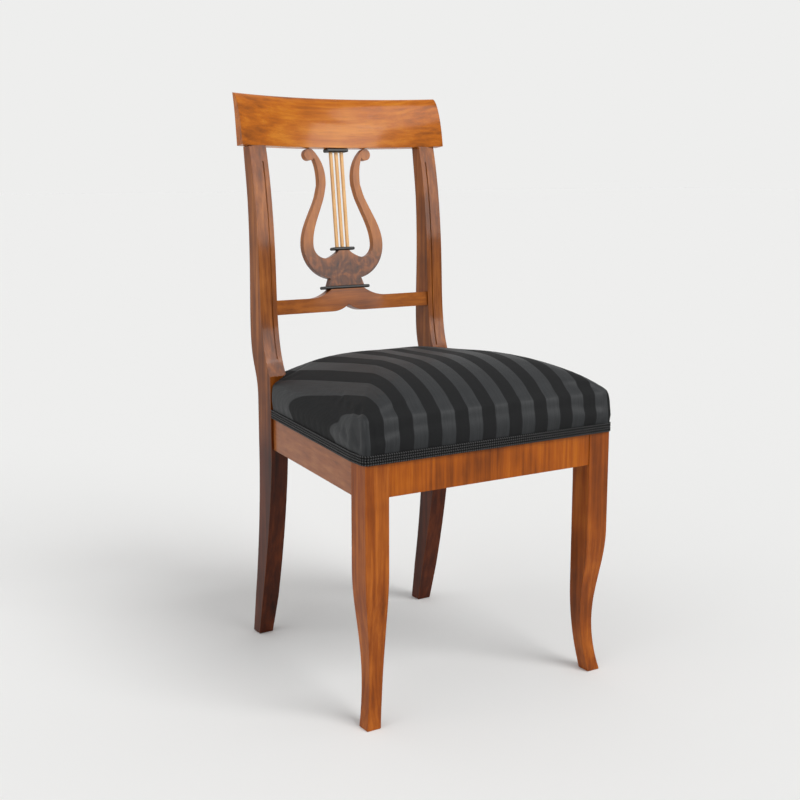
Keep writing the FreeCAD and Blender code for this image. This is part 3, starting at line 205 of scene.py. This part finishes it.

# Seat rails
# Four boards tenoned into the legs. The side and back rails have their grain along the rail, and the
# front rail is faced with veneer laid with its grain upright. The front rail is painted warmer and
# the side and back rails paler and pinker: lit and shaded copies of one wood, the side colours
# carrying a painted reflection of the pale room.

RAIL_PALE = srgb(186, 104, 20)
RAIL_MIDDLE = srgb(160, 80, 8)
RAIL_DARK = srgb(104, 48, 4)
# Side and back rail colours: the rail wood painted paler and pinker, a painted reflection of the
# pale room on the side faces.
SIDE_PALE = srgb(170, 106, 58)
SIDE_MIDDLE = srgb(144, 82, 40)
SIDE_DARK = srgb(98, 52, 22)
dress(
    polished_wood("seat_rail_front", RAIL_PALE, RAIL_MIDDLE, RAIL_DARK, "up", figure=1.0),
    "seat_rail_front",
)
dress(
    polished_wood("seat_rail_back", SIDE_PALE, SIDE_MIDDLE, SIDE_DARK, "across", (0, 0.2, 0.4)),
    "seat_rail_back",
)
dress(
    polished_wood("seat_rail_sides", SIDE_PALE, SIDE_MIDDLE, SIDE_DARK, "back", figure=0.6),
    "seat_rail_left",
    "seat_rail_right",
)

# Corner blocks, their screws and the dowels
# Sawn and unfinished softwood and hardwood, hidden inside the seat frame and the joints.
# The screws are dull steel.


def plain_wood(name, pale, dark):
    """Unfinished sawn wood: pale early wood, darker late wood and saw fur."""
    wood = Finish(name)
    drawn = wood.place(scale=(1, 0.12, 1))
    bands = wood.node("ShaderNodeTexWave", Vector=drawn, Scale=30, Distortion=5, Detail=3)
    fur = wood.node("ShaderNodeTexNoise", Vector=drawn, Scale=500, Detail=3)
    colour = wood.ramp(bands.outputs["Fac"], [(0.2, pale), (0.9, dark)])
    colour = wood.mix(wood.math("MULTIPLY", fur.outputs["Fac"], 0.3), colour, dark)
    bump = wood.node("ShaderNodeBump", Strength=0.5, Distance=0.0004, Height=fur.outputs["Fac"])
    wood.set(Base_Color=colour, Roughness=0.85, Normal=bump.outputs["Normal"])
    return wood.material


dress(
    plain_wood("plain_wood", srgb(206, 172, 122), srgb(160, 118, 72)),
    "corner_block_front_left",
    "corner_block_front_right",
    "corner_block_back_left",
    "corner_block_back_right",
    "lyre_dowels",
)
steel = Finish("screw_steel")
scratches = steel.node("ShaderNodeTexNoise", Vector=steel.place(), Scale=900, Detail=3)
steel.set(
    Base_Color=steel.ramp(
        scratches.outputs["Fac"], [(0.3, srgb(150, 148, 142)), (0.75, srgb(92, 84, 76))]
    ),
    Metallic=1.0,
    Roughness=steel.math("ADD", steel.math("MULTIPLY", scratches.outputs["Fac"], 0.3), 0.3),
)
dress(steel.material, "corner_block_screws")

# Back posts
# Each is one board sawn to a sweeping curve, from the swept back leg to the raked back post.
# They are darker than the front, and painted darker still below the seat as painted shade; their
# fronts carry a bead beside a fine groove.

POST_PALE = srgb(170, 100, 38)
POST_MIDDLE = srgb(130, 68, 14)
POST_DARK = srgb(74, 36, 8)
# The tone that darkens the back legs below the seat: painted shade under the seat.
UNDER_SEAT_SHADE = srgb(150, 120, 110)
for number, name in enumerate(("back_leg_left", "back_leg_right")):
    dress(
        polished_wood(
            name,
            POST_PALE,
            POST_MIDDLE,
            POST_DARK,
            shift=(0.5 * number, 0.3, 0.2),
            under_seat_shade=UNDER_SEAT_SHADE,
        ),
        name,
    )

# Lower back rail
# A rail curved in plan, with a raised saddle for the lyre and a pointed notch below.

dress(
    polished_wood(
        "lower_back_rail",
        srgb(176, 100, 28),
        srgb(144, 76, 14),
        srgb(92, 44, 8),
        "across",
        (0.1, 0.6, 0.2),
    ),
    "lower_back_rail",
)

# Black bars
# The bar under the lyre, the bridge on its peak and the collar under the crest rail.
# Thin boards with rounded edges, stained black and polished to a satin.

black = Finish("ebonised_wood")
black_grain = black.node(
    "ShaderNodeTexNoise", Vector=black.place(scale=(0.1, 1, 1)), Scale=420, Detail=3
)
black_wear = black.node("ShaderNodeTexNoise", Vector=black.place(), Scale=60, Detail=4)
black_colour = black.ramp(
    black_grain.outputs["Fac"], [(0.3, srgb(14, 13, 12)), (0.8, srgb(28, 25, 22))]
)
black_bump = black.node(
    "ShaderNodeBump", Strength=0.3, Distance=0.0002, Height=black_grain.outputs["Fac"]
)
black.set(
    Base_Color=black_colour,
    Roughness=black.math("ADD", black.math("MULTIPLY", black_wear.outputs["Fac"], 0.2), 0.28),
    Normal=black_bump.outputs["Normal"],
    Specular_IOR_Level=0.25,
    Coat_Weight=0.12,
    Coat_Roughness=0.2,
)
dress(black.material, "lyre_base_bar", "lyre_bridge", "lyre_top_collar")

# Lyre
# One sawn board: arms of pale veneer above, a dark figured bowl and foot below.
# The grain runs up the arms, and the bowl shows a curl across it.

LYRE_TURN_LEVEL = 0.655
lyre = Finish("lyre_wood")
lyre_long = lyre.place(scale=(1, 1, 0.12))
lyre_wave = lyre.node("ShaderNodeTexNoise", Vector=lyre_long, Scale=40, Detail=3)
lyre_streak = lyre.node("ShaderNodeTexNoise", Vector=lyre_long, Scale=220, Detail=4)
lyre_curl = lyre.node("ShaderNodeTexNoise", Vector=lyre.place(), Scale=38, Detail=4, Distortion=2.5)
arm_share = lyre.math("MULTIPLY", lyre_wave.outputs["Fac"], 0.5)
arm_share = lyre.math("ADD", arm_share, lyre.math("MULTIPLY", lyre_streak.outputs["Fac"], 0.5))
arm_colour = lyre.ramp(
    arm_share, [(0.15, srgb(192, 122, 46)), (0.5, srgb(164, 94, 26)), (0.85, srgb(122, 66, 16))]
)
bowl_share = lyre.math("MULTIPLY", lyre_curl.outputs["Fac"], 0.7)
bowl_share = lyre.math("ADD", bowl_share, lyre.math("MULTIPLY", lyre_streak.outputs["Fac"], 0.3))
bowl_colour = lyre.ramp(
    bowl_share, [(0.34, srgb(144, 78, 22)), (0.5, srgb(98, 50, 12)), (0.68, srgb(52, 27, 8))]
)
lyre_where = lyre.tree.nodes.new("ShaderNodeTexCoord")
lyre_axes = lyre.node("ShaderNodeSeparateXYZ", Vector=lyre_where.outputs["Object"])
up_share = lyre.math("SUBTRACT", lyre_axes.outputs["Z"], LYRE_TURN_LEVEL)
up_share = lyre.math("ADD", lyre.math("MULTIPLY", up_share, 26.0), 0.5, clamp=True)
lyre_colour = lyre.mix(up_share, bowl_colour, arm_colour)
lyre_edge = lyre.tree.nodes.new("ShaderNodeBevel")
lyre_edge.samples = 4
lyre_edge.inputs["Radius"].default_value = 0.0008
lyre_bump = lyre.node("ShaderNodeBump", Strength=0.3, Distance=0.0002)
lyre.tree.links.new(lyre_streak.outputs["Fac"], lyre_bump.inputs["Height"])
lyre.tree.links.new(lyre_edge.outputs[0], lyre_bump.inputs["Normal"])
lyre.set(
    Base_Color=lyre_colour,
    Roughness=lyre.math("ADD", lyre.math("MULTIPLY", lyre_curl.outputs["Fac"], 0.15), 0.28),
    Normal=lyre_bump.outputs["Normal"],
    Specular_IOR_Level=0.16,
    Coat_Weight=0.16,
    Coat_Roughness=0.14,
)
dress(lyre.material, "lyre_frame")

# Strings
# Three flat slats of pale wood from the bridge to the collar.

dress(
    polished_wood(
        "pale_wood", srgb(238, 190, 128), srgb(222, 168, 104), srgb(176, 118, 64), figure=0.4
    ),
    "lyre_string_left",
    "lyre_string_middle",
    "lyre_string_right",
)

# Crest rail
# A broad curved board, its front rolled back to the top, with the grain from end to end.
# It is the warmest and glossiest piece of the chair.

dress(
    polished_wood(
        "crest_rail",
        srgb(206, 126, 30),
        srgb(180, 96, 10),
        srgb(116, 58, 6),
        "across",
        (0.2, 0.4, 0.9),
        figure=0.9,
        gloss=0.22,
    ),
    "crest_rail",
)

# Webbing, hessian, stuffing and dust cloth
# Jute straps woven over and under, an open jute cloth on them, the stuffing in a cotton case,
# and a thin black cloth tacked under the rails.


def plain_cloth(name, pale, dark, thread, rough=0.95):
    """Plain weave: two sets of threads over and under, uneven in colour."""
    cloth = Finish(name)
    warp = cloth.node("ShaderNodeTexWave", Vector=cloth.place(), Scale=math.pi / thread / 10)
    weft = cloth.node("ShaderNodeTexWave", Vector=cloth.place(), Scale=math.pi / thread / 10)
    weft.bands_direction = "Y"
    uneven = cloth.node("ShaderNodeTexNoise", Vector=cloth.place(), Scale=260, Detail=3)
    threads = cloth.math("MAXIMUM", warp.outputs["Fac"], weft.outputs["Fac"])
    share = cloth.math("MULTIPLY", threads, uneven.outputs["Fac"])
    bump = cloth.node("ShaderNodeBump", Strength=0.8, Distance=thread / 2, Height=threads)
    cloth.set(
        Base_Color=cloth.ramp(share, [(0.1, dark), (0.7, pale)]),
        Roughness=rough,
        Normal=bump.outputs["Normal"],
        Sheen_Weight=0.2,
    )
    return cloth.material


dress(
    plain_cloth("webbing", srgb(176, 152, 112), srgb(116, 92, 60), 0.0018),
    "webbing_lengthwise_left",
    "webbing_lengthwise_middle",
    "webbing_lengthwise_right",
    "webbing_crosswise_front",
    "webbing_crosswise_middle",
    "webbing_crosswise_back",
)
dress(plain_cloth("hessian", srgb(184, 162, 120), srgb(120, 98, 66), 0.0012), "hessian")
dress(plain_cloth("padding", srgb(226, 220, 204), srgb(186, 178, 160), 0.0007), "seat_pad")
dress(plain_cloth("dust_cloth", srgb(42, 41, 40), srgb(20, 20, 20), 0.0006), "dust_cover")

# Seat cover
# Black cloth with satin and matt stripes from front to back, pulled over a high crowned seat
# and pleated at the front corners. It is blown up from a slightly smaller shape, then hemmed.

FRONT = -0.2417
SIDE_AT_FRONT = 0.2200
LEG_BACK = FRONT + 0.0385
RAIL_AT_LEG = 0.2190
RAIL_AT_POST = 0.1736
POST_FRONT = FRONT + 0.371
REAR = 0.1713
POST_INSIDE = 0.148
HEM = 0.3915
BRAID_TOP = 0.4055
ROLL = 0.4435
TURN = 0.0120
FALL = 0.0040
CROWN = 0.5035
REACH = 0.139
CLOTH_OFF = 0.0017
CLOTH_THICK = 0.0011
SWELL = 0.0026


def seat_plan(swell):
    """Points round the seat, with the frame's outer faces moved out by the swell."""
    inward = max(0.0, -swell)
    corner = 0.010 + 0.3 * inward
    rear_corner = 0.002 + 0.2 * inward
    slope = (RAIL_AT_LEG - RAIL_AT_POST) / (POST_FRONT - LEG_BACK)
    front = FRONT - swell
    side = SIDE_AT_FRONT + swell
    bend = RAIL_AT_LEG + swell
    rear = REAR + swell
    rear_side = bend - slope * (rear - LEG_BACK)
    bend_y = max(LEG_BACK, front + corner + 0.001)
    half = [complex((side - corner) * i / 14, front) for i in range(14)]
    for i in range(8):
        turn = math.pi / 14 * i
        x = side - corner + corner * math.sin(turn)
        half.append(complex(x, front + corner - corner * math.cos(turn)))
    for i in range(24):
        share = i / 24
        half.append(
            complex(
                bend + (rear_side + slope * rear_corner - bend) * share,
                bend_y + (rear - rear_corner - bend_y) * share,
            )
        )
    for i in range(6):
        turn = math.pi / 10 * i
        x = rear_side - rear_corner + rear_corner * math.cos(turn)
        half.append(complex(x, rear - rear_corner + rear_corner * math.sin(turn)))
    for i in range(1, 10):
        half.append(complex((rear_side - rear_corner) * (1 - i / 10), rear))
    other = [complex(-point.real, point.imag) for point in reversed(half[1:])]
    return half + [complex(0, rear)] + other


def crown_rows():
    """How far in from the edge and how high each ring of the padding lies."""
    rows = [(CLOTH_OFF, HEM - 0.006, 0), (CLOTH_OFF, HEM, 0), (CLOTH_OFF, BRAID_TOP, 0)]
    for i in range(1, 6):
        share = i / 5
        bulge = SWELL * math.sin(0.8 * math.pi * share)
        rows.append((CLOTH_OFF + bulge, BRAID_TOP + (ROLL - BRAID_TOP) * share, FALL * share))
    edge = rows[-1][0]
    for i in range(1, 5):
        turn = math.pi / 8 * i * 0.85
        rows.append((edge - TURN * (1 - math.cos(turn)), ROLL + TURN * math.sin(turn), FALL))
    edge, level, _ = rows[-1]
    for i in range(1, 11):
        share = (i / 10) ** 1.27
        rise = (CROWN - level) * (1 - (1 - share) ** 2.08)
        rows.append((edge - REACH * share, level + rise, FALL))
    return rows


def seat_block():
    """The closed shape that the cloth is blown up from."""
    middle = (FRONT + REAR) / 2
    verts = []
    rows = crown_rows()
    for swell, level, fall in rows:
        for p in seat_plan(swell):
            drop = fall * (p.imag - middle) / (POST_FRONT - middle)
            verts.append(Vector((p.real, p.imag, level - drop)))
    count = len(seat_plan(0))
    rings = len(rows)
    faces = [list(reversed(range(count)))]
    for ring in range(rings - 1):
        for i in range(count):
            j = (i + 1) % count
            low = ring * count
            faces.append((low + i, low + j, low + count + j, low + count + i))
    faces.append(list(range((rings - 1) * count, rings * count)))
    mesh = bpy.data.meshes.new("seat_block")
    mesh.from_pydata(verts, [], faces)
    mesh.update()
    piece = bpy.data.objects.new("seat_block", mesh)
    bpy.context.scene.collection.objects.link(piece)
    return piece


def finished(piece):
    """The piece's mesh with its modifiers worked in and taken off."""
    bpy.context.view_layer.update()
    graph = bpy.context.evaluated_depsgraph_get()
    mesh = bpy.data.meshes.new_from_object(piece.evaluated_get(graph))
    piece.modifiers.clear()
    piece.data = mesh
    return piece


def cut_box(name, low, high):
    x0, y0, z0 = low
    x1, y1, z1 = high
    corners = [(x, y, z) for x in (x0, x1) for y in (y0, y1) for z in (z0, z1)]
    faces = [(0, 1, 3, 2), (4, 6, 7, 5), (0, 4, 5, 1), (2, 3, 7, 6), (0, 2, 6, 4), (1, 5, 7, 3)]
    mesh = bpy.data.meshes.new(name)
    mesh.from_pydata(corners, [], faces)
    piece = bpy.data.objects.new(name, mesh)
    bpy.context.scene.collection.objects.link(piece)
    return piece


def within(value, least=0.0):
    """A share kept from the least up to 1."""
    return min(1.0, max(least, value))


POST_GAP = 0.0012
PAST_SEAT = 0.4
NOTCH_LOW = 0.3
NOTCH_HIGH = 0.6
MESH_SIZE = 0.0045
CLOTH_FRAMES = 20
LIMIT = 0.0035
seat = seat_block()
for side in (-1, 1):
    inner = side * (POST_INSIDE - POST_GAP)
    outer = side * PAST_SEAT
    notch = cut_box(
        "post_notch",
        (min(inner, outer), POST_FRONT - POST_GAP, NOTCH_LOW),
        (max(inner, outer), PAST_SEAT, NOTCH_HIGH),
    )
    boolean = seat.modifiers.new("notch", "BOOLEAN")
    boolean.operation = "DIFFERENCE"
    boolean.solver = "EXACT"
    boolean.object = notch
    finished(seat)
    bpy.data.objects.remove(notch)
remesh = seat.modifiers.new("threads", "REMESH")
remesh.mode = "VOXEL"
remesh.voxel_size = MESH_SIZE
finished(seat)
seat.name = "seat_cover_cloth"

start = [v.co.copy() for v in seat.data.vertices]
hold = seat.vertex_groups.new(name="tacked")
for v in seat.data.vertices:
    low_hold = within((BRAID_TOP + 0.006 - v.co.z) / 0.006)
    near_post = v.co.y > POST_FRONT - 0.004 and abs(v.co.x) > POST_INSIDE - 0.006
    hold.add([v.index], 1.0 if near_post else low_hold, "REPLACE")
cloth = seat.modifiers.new("cloth", "CLOTH")
settings = cloth.settings
settings.quality = 6
settings.mass = 0.3
settings.tension_stiffness = 25
settings.compression_stiffness = 25
settings.shear_stiffness = 10
settings.bending_stiffness = 3
settings.use_pressure = True
settings.uniform_pressure_force = 4
settings.vertex_group_mass = "tacked"
settings.effector_weights.gravity = 0
cloth.collision_settings.use_collision = False
scene = bpy.context.scene
cloth.point_cache.frame_start = 1
cloth.point_cache.frame_end = CLOTH_FRAMES
for number in range(1, CLOTH_FRAMES + 1):
    scene.frame_set(number)
finished(seat)
scene.frame_set(1)

for v, rest in zip(seat.data.vertices, start):
    move = v.co - rest
    if move.length > LIMIT:
        move = move.normalized() * LIMIT
    v.co = rest + move

CORNER_REACH = 0.014
CORNER_PUSH = 0.0016
PLEAT_IN = 0.013
PLEAT_LEAN = 0.10
PLEAT_WIDTH = 0.0035
PLEAT_DEPTH = 0.0030
LIP_IN = 0.007
LIP_WIDTH = 0.004
LIP_HEIGHT = 0.0010
TACK_PITCH = 0.023
TACK_PULL = 0.00035
FRONT_FACE = FRONT + 0.004
# the fuller front corners, their pleats, and the pull of the tacks along the braid
for v in seat.data.vertices:
    x, y, z = v.co
    side = 1 if x > 0 else -1
    if abs(x) > SIDE_AT_FRONT - CORNER_REACH and y < FRONT + CORNER_REACH:
        push = CORNER_PUSH * within((0.428 - z) / 0.012)
        v.co.x += push * side
        v.co.y -= push
    height = within((z - BRAID_TOP) / 0.01) * within((0.462 - z) / 0.02)
    if y < FRONT_FACE and height > 0:
        away = abs(x) - (SIDE_AT_FRONT - PLEAT_IN) - PLEAT_LEAN * (z - BRAID_TOP)
        fold = math.exp(-((away / PLEAT_WIDTH) ** 2)) * PLEAT_DEPTH
        lip = math.exp(-(((away + LIP_IN) / LIP_WIDTH) ** 2)) * LIP_HEIGHT
        v.co.y += (fold * within((z - 0.414) / 0.008, 0.25) - lip) * height
    pull = within(1 - abs(z - BRAID_TOP - 0.008) / 0.014)
    if pull > 0 and (abs(x) > 0.15 or y < FRONT + 0.01):
        run = x if y < FRONT_FACE else y
        shift = TACK_PULL * pull * math.sin(2 * math.pi * run / TACK_PITCH)
        if y < FRONT_FACE:
            v.co.y -= shift
        else:
            v.co.x += shift * side

keep_faces = [f for f in seat.data.polygons if f.center.z > HEM]
old_verts = [v.co.copy() for v in seat.data.vertices]
used = sorted({index for f in keep_faces for index in f.vertices})
new_index = {index: i for i, index in enumerate(used)}
hemmed = bpy.data.meshes.new("seat_cover_cloth")
hemmed.from_pydata(
    [old_verts[index] for index in used],
    [],
    [[new_index[index] for index in f.vertices] for f in keep_faces],
)
hemmed.update()
seat.data = hemmed
for face_item in seat.data.polygons:
    face_item.use_smooth = True
smooth = seat.modifiers.new("smooth", "SUBSURF")
smooth.levels = 1
smooth.render_levels = 1
thick = seat.modifiers.new("thickness", "SOLIDIFY")
thick.thickness = CLOTH_THICK
thick.offset = -1

STRIPE = 0.0237
WARP_PITCH = 0.0016
fabric = Finish("seat_fabric")
fabric_where = fabric.tree.nodes.new("ShaderNodeTexCoord")
fabric_axes = fabric.node("ShaderNodeSeparateXYZ", Vector=fabric_where.outputs["Object"])
stripe_wave = fabric.math("MULTIPLY", fabric_axes.outputs["X"], math.pi / STRIPE)
stripe_wave = fabric.math("SINE", stripe_wave)
stripe = fabric.math("ADD", fabric.math("MULTIPLY", stripe_wave, 9.0), 0.5, clamp=True)
fine = fabric.math("MULTIPLY", fabric_axes.outputs["X"], 2 * math.pi / WARP_PITCH)
fine = fabric.math("SINE", fine)
weave = fabric.node(
    "ShaderNodeTexNoise", Vector=fabric.place(scale=(1, 0.35, 0.35)), Scale=900, Detail=2
)
slub = fabric.node(
    "ShaderNodeTexNoise", Vector=fabric.place(scale=(1, 0.05, 0.05)), Scale=420, Detail=2
)
# The satin stripes are painted lighter than the matt ones: partly the woven stripe, partly a painted
# sheen of the satin.
satin = fabric.ramp(slub.outputs["Fac"], [(0.3, srgb(44, 46, 48)), (0.75, srgb(32, 34, 36))])
matt = fabric.ramp(slub.outputs["Fac"], [(0.3, srgb(15, 16, 18)), (0.75, srgb(9, 10, 11))])
cloth_colour = fabric.mix(stripe, matt, satin)
cloth_colour = fabric.mix(
    fabric.math("MULTIPLY", weave.outputs["Fac"], 0.4), cloth_colour, srgb(20, 20, 20)
)
height_share = fabric.math("ADD", weave.outputs["Fac"], fabric.math("MULTIPLY", fine, 0.2))
cloth_bump = fabric.node("ShaderNodeBump", Strength=0.6, Distance=0.0003, Height=height_share)
cloth_rough = fabric.math("SUBTRACT", 0.85, fabric.math("MULTIPLY", stripe, 0.32))
fabric.set(
    Base_Color=cloth_colour,
    Roughness=cloth_rough,
    Normal=cloth_bump.outputs["Normal"],
    Specular_IOR_Level=0.22,
)
seat.data.materials.append(fabric.material)
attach(seat, "root")
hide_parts("seat_cover", "seat_pad")

# Braid
# Two rows of black braid over the tacks, round the front and the sides and across the back.
# Each row is two lines of slanting strands, laid along the seat's edge.

BRAID_LOW = 0.3905
BRAID_HIGH = 0.4055


def braid_tree():
    """Strands repeated along a path, two lines to a row and two rows."""
    tree = bpy.data.node_groups.new("braid", "GeometryNodeTree")
    tree.interface.new_socket("Geometry", in_out="INPUT", socket_type="NodeSocketGeometry")
    for name, value in (("Pitch", 0.0038), ("Length", 0.0020), ("Width", 0.0012), ("Slant", 0.9)):
        socket = tree.interface.new_socket(name, in_out="INPUT", socket_type="NodeSocketFloat")
        socket.default_value = value
    tree.interface.new_socket("Finish", in_out="INPUT", socket_type="NodeSocketMaterial")
    tree.interface.new_socket("Geometry", in_out="OUTPUT", socket_type="NodeSocketGeometry")
    nodes, links = tree.nodes, tree.links
    given = nodes.new("NodeGroupInput")
    made = nodes.new("NodeGroupOutput")
    points = nodes.new("GeometryNodeResampleCurve")
    points.mode = "LENGTH"
    links.new(given.outputs["Geometry"], points.inputs["Curve"])
    links.new(given.outputs["Pitch"], points.inputs["Length"])
    ball = nodes.new("GeometryNodeMeshUVSphere")
    ball.inputs["Segments"].default_value = 6
    ball.inputs["Rings"].default_value = 4
    ball.inputs["Radius"].default_value = 1.0
    size = nodes.new("ShaderNodeCombineXYZ")
    links.new(given.outputs["Length"], size.inputs["X"])
    links.new(given.outputs["Width"], size.inputs["Y"])
    links.new(given.outputs["Width"], size.inputs["Z"])
    strand = nodes.new("GeometryNodeTransform")
    links.new(ball.outputs["Mesh"], strand.inputs["Geometry"])
    links.new(size.outputs["Vector"], strand.inputs["Scale"])
    heading = nodes.new("GeometryNodeInputTangent")
    aim = nodes.new("FunctionNodeAlignRotationToVector")
    aim.axis = "X"
    aim.pivot_axis = "Z"
    links.new(heading.outputs["Tangent"], aim.inputs["Vector"])
    join = nodes.new("GeometryNodeJoinGeometry")
    row_height = (BRAID_HIGH - BRAID_LOW) / 4
    for line_number in range(4):
        way = 1 if line_number % 2 else -1
        on_points = nodes.new("GeometryNodeInstanceOnPoints")
        links.new(points.outputs["Curve"], on_points.inputs["Points"])
        links.new(strand.outputs["Geometry"], on_points.inputs["Instance"])
        links.new(aim.outputs["Rotation"], on_points.inputs["Rotation"])
        slant = nodes.new("ShaderNodeMath")
        slant.operation = "MULTIPLY"
        slant.inputs[1].default_value = way
        links.new(given.outputs["Slant"], slant.inputs[0])
        angles = nodes.new("ShaderNodeCombineXYZ")
        links.new(slant.outputs[0], angles.inputs["Y"])
        turn = nodes.new("GeometryNodeRotateInstances")
        links.new(on_points.outputs["Instances"], turn.inputs["Instances"])
        links.new(angles.outputs["Vector"], turn.inputs["Rotation"])
        lift = nodes.new("GeometryNodeTranslateInstances")
        lift.inputs["Local Space"].default_value = False
        level = BRAID_LOW + row_height * (line_number + 0.5)
        lift.inputs["Translation"].default_value = (0, 0, level)
        links.new(turn.outputs["Instances"], lift.inputs["Instances"])
        links.new(lift.outputs["Instances"], join.inputs["Geometry"])
    real = nodes.new("GeometryNodeRealizeInstances")
    links.new(join.outputs["Geometry"], real.inputs["Geometry"])
    smooth_strands = nodes.new("GeometryNodeSetShadeSmooth")
    links.new(real.outputs["Geometry"], smooth_strands.inputs["Geometry"])
    colour = nodes.new("GeometryNodeSetMaterial")
    links.new(smooth_strands.outputs["Geometry"], colour.inputs["Geometry"])
    links.new(given.outputs["Finish"], colour.inputs["Material"])
    links.new(colour.outputs["Geometry"], made.inputs["Geometry"])
    return tree


# The strands are painted lighter than the black thread, as painted highlights on the strand loops.
braid_finish = Finish("braid")
braid_noise = braid_finish.node("ShaderNodeTexNoise", Vector=braid_finish.place(), Scale=1500)
braid_finish.set(
    Base_Color=braid_finish.ramp(
        braid_noise.outputs["Fac"], [(0.3, srgb(20, 20, 21)), (0.75, srgb(52, 52, 53))]
    ),
    Roughness=0.5,
)
# The braid body under the strands is painted darker, as painted shade in the gaps between the
# strands.
braid_web = Finish("braid_web")
web_noise = braid_web.node("ShaderNodeTexNoise", Vector=braid_web.place(), Scale=1500)
braid_web.set(
    Base_Color=braid_web.ramp(
        web_noise.outputs["Fac"], [(0.3, srgb(8, 8, 8)), (0.75, srgb(18, 18, 18))]
    ),
    Roughness=0.9,
    Specular_IOR_Level=0.1,
)
dress(braid_web.material, "gimp_braid", "gimp_braid_back")
BRAID = braid_tree()


def lay_braid(name, path):
    """A run of braid along a path, made real."""
    curve = bpy.data.curves.new(name + "_path", "CURVE")
    curve.dimensions = "3D"
    line = curve.splines.new("POLY")
    line.points.add(len(path) - 1)
    for point, (x, y) in zip(line.points, path):
        point.co = (x, y, 0, 1)
    guide = bpy.data.objects.new(name + "_path", curve)
    bpy.context.scene.collection.objects.link(guide)
    work = guide.modifiers.new("braid", "NODES")
    work.node_group = BRAID
    for item in BRAID.interface.items_tree:
        if item.in_out == "INPUT" and item.name == "Finish":
            work[item.identifier] = braid_finish.material
    bpy.context.view_layer.update()
    graph = bpy.context.evaluated_depsgraph_get()
    mesh = bpy.data.meshes.new_from_object(guide.evaluated_get(graph))
    piece = bpy.data.objects.new(name, mesh)
    bpy.context.scene.collection.objects.link(piece)
    bpy.data.objects.remove(guide)
    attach(piece, "root")
    return piece


BRAID_OUT = 0.0036
round_seat = [(p.real, p.imag) for p in seat_plan(BRAID_OUT)]
half_count = len(round_seat) // 2 + 1
right_side = [p for p in round_seat[:half_count] if p[1] < POST_FRONT - 0.003]
left_side = [(-x, y) for x, y in reversed(right_side[1:])]
lay_braid("braid_front", left_side + right_side)
lay_braid(
    "braid_back", [(-POST_INSIDE + 0.003, REAR + BRAID_OUT), (POST_INSIDE - 0.003, REAR + BRAID_OUT)]
)

# Studio
# A pale seamless floor, a broad soft light from the front and left, and white panels that only
# show as reflections in the polish.

BACKDROP = srgb(238, 238, 237)
FLOOR_LIGHT = 0.97
floor_mesh = bpy.data.meshes.new("floor")
floor_mesh.from_pydata(
    [(-40, -40, 0), (40, -40, 0), (40, 40, 0), (-40, 40, 0)], [], [(0, 1, 2, 3)]
)
floor = bpy.data.objects.new("floor", floor_mesh)
bpy.context.scene.collection.objects.link(floor)
ground = Finish("floor")
floor_colour = (*(level / FLOOR_LIGHT for level in BACKDROP[:3]), 1.0)
ground.set(Base_Color=floor_colour, Roughness=1.0, Specular_IOR_Level=0.0)
floor.data.materials.append(ground.material)

world = bpy.data.worlds.new("studio")
bpy.context.scene.world = world
world.use_nodes = True
sky = world.node_tree
sky_light = sky.nodes["Background"]
WORLD_LEVEL = 0.52
sky_light.inputs["Color"].default_value = (1, 1, 1, 1)
sky_light.inputs["Strength"].default_value = WORLD_LEVEL
sky_seen = sky.nodes.new("ShaderNodeBackground")
sky_seen.inputs["Color"].default_value = BACKDROP
sky_path = sky.nodes.new("ShaderNodeLightPath")
sky_mix = sky.nodes.new("ShaderNodeMixShader")
seen = sky_path.outputs["Is Camera Ray"]
for kind in ("Is Glossy Ray", "Is Transmission Ray"):
    either = sky.nodes.new("ShaderNodeMath")
    either.operation = "MAXIMUM"
    sky.links.new(seen, either.inputs[0])
    sky.links.new(sky_path.outputs[kind], either.inputs[1])
    seen = either.outputs[0]
sky.links.new(seen, sky_mix.inputs["Fac"])
sky.links.new(sky_light.outputs[0], sky_mix.inputs[1])
sky.links.new(sky_seen.outputs[0], sky_mix.inputs[2])
sky.links.new(sky_mix.outputs[0], sky.nodes["World Output"].inputs["Surface"])


def sun(name, heading, level, softness):
    """A broad distant lamp; level is the light that it adds on a face turned to it."""
    lamp = bpy.data.lights.new(name, "SUN")
    lamp.energy = level * math.pi
    lamp.angle = math.radians(softness)
    piece = bpy.data.objects.new(name, lamp)
    bpy.context.scene.collection.objects.link(piece)
    piece.rotation_euler = Vector(heading).to_track_quat("-Z", "Y").to_euler()
    return piece


def panel(name, place, target, width, height, power):
    """A white panel seen only in reflections."""
    lamp = bpy.data.lights.new(name, "AREA")
    lamp.shape = "RECTANGLE"
    lamp.size = width
    lamp.size_y = height
    lamp.energy = power
    piece = bpy.data.objects.new(name, lamp)
    bpy.context.scene.collection.objects.link(piece)
    piece.location = place
    piece.rotation_euler = (Vector(target) - Vector(place)).to_track_quat("-Z", "Y").to_euler()
    piece.visible_diffuse = False
    piece.visible_camera = False
    return piece


sun("key", (-0.25, 0.75, -0.75), 0.50, 35)
sun("fill", (0.8, 0.2, -0.6), 0.18, 60)
panel("window_front", (1.6, -2.6, 1.7), (0, 0, 0.6), 1.2, 1.6, 45)
panel("window_left", (-2.6, -0.4, 1.5), (0, 0, 0.5), 1.2, 1.8, 30)

camera_data = bpy.data.cameras.new("camera")
camera_data.sensor_width = 36
camera_data.lens = 56.27
camera = bpy.data.objects.new("camera", camera_data)
bpy.context.scene.collection.objects.link(camera)
camera.location = (-1.06805, -1.67286, 0.78951)
camera.rotation_euler = (math.radians(90 - 10.44), 0, math.radians(-32.29))
bpy.context.scene.camera = camera
bpy.context.scene.view_settings.view_transform = "Standard"
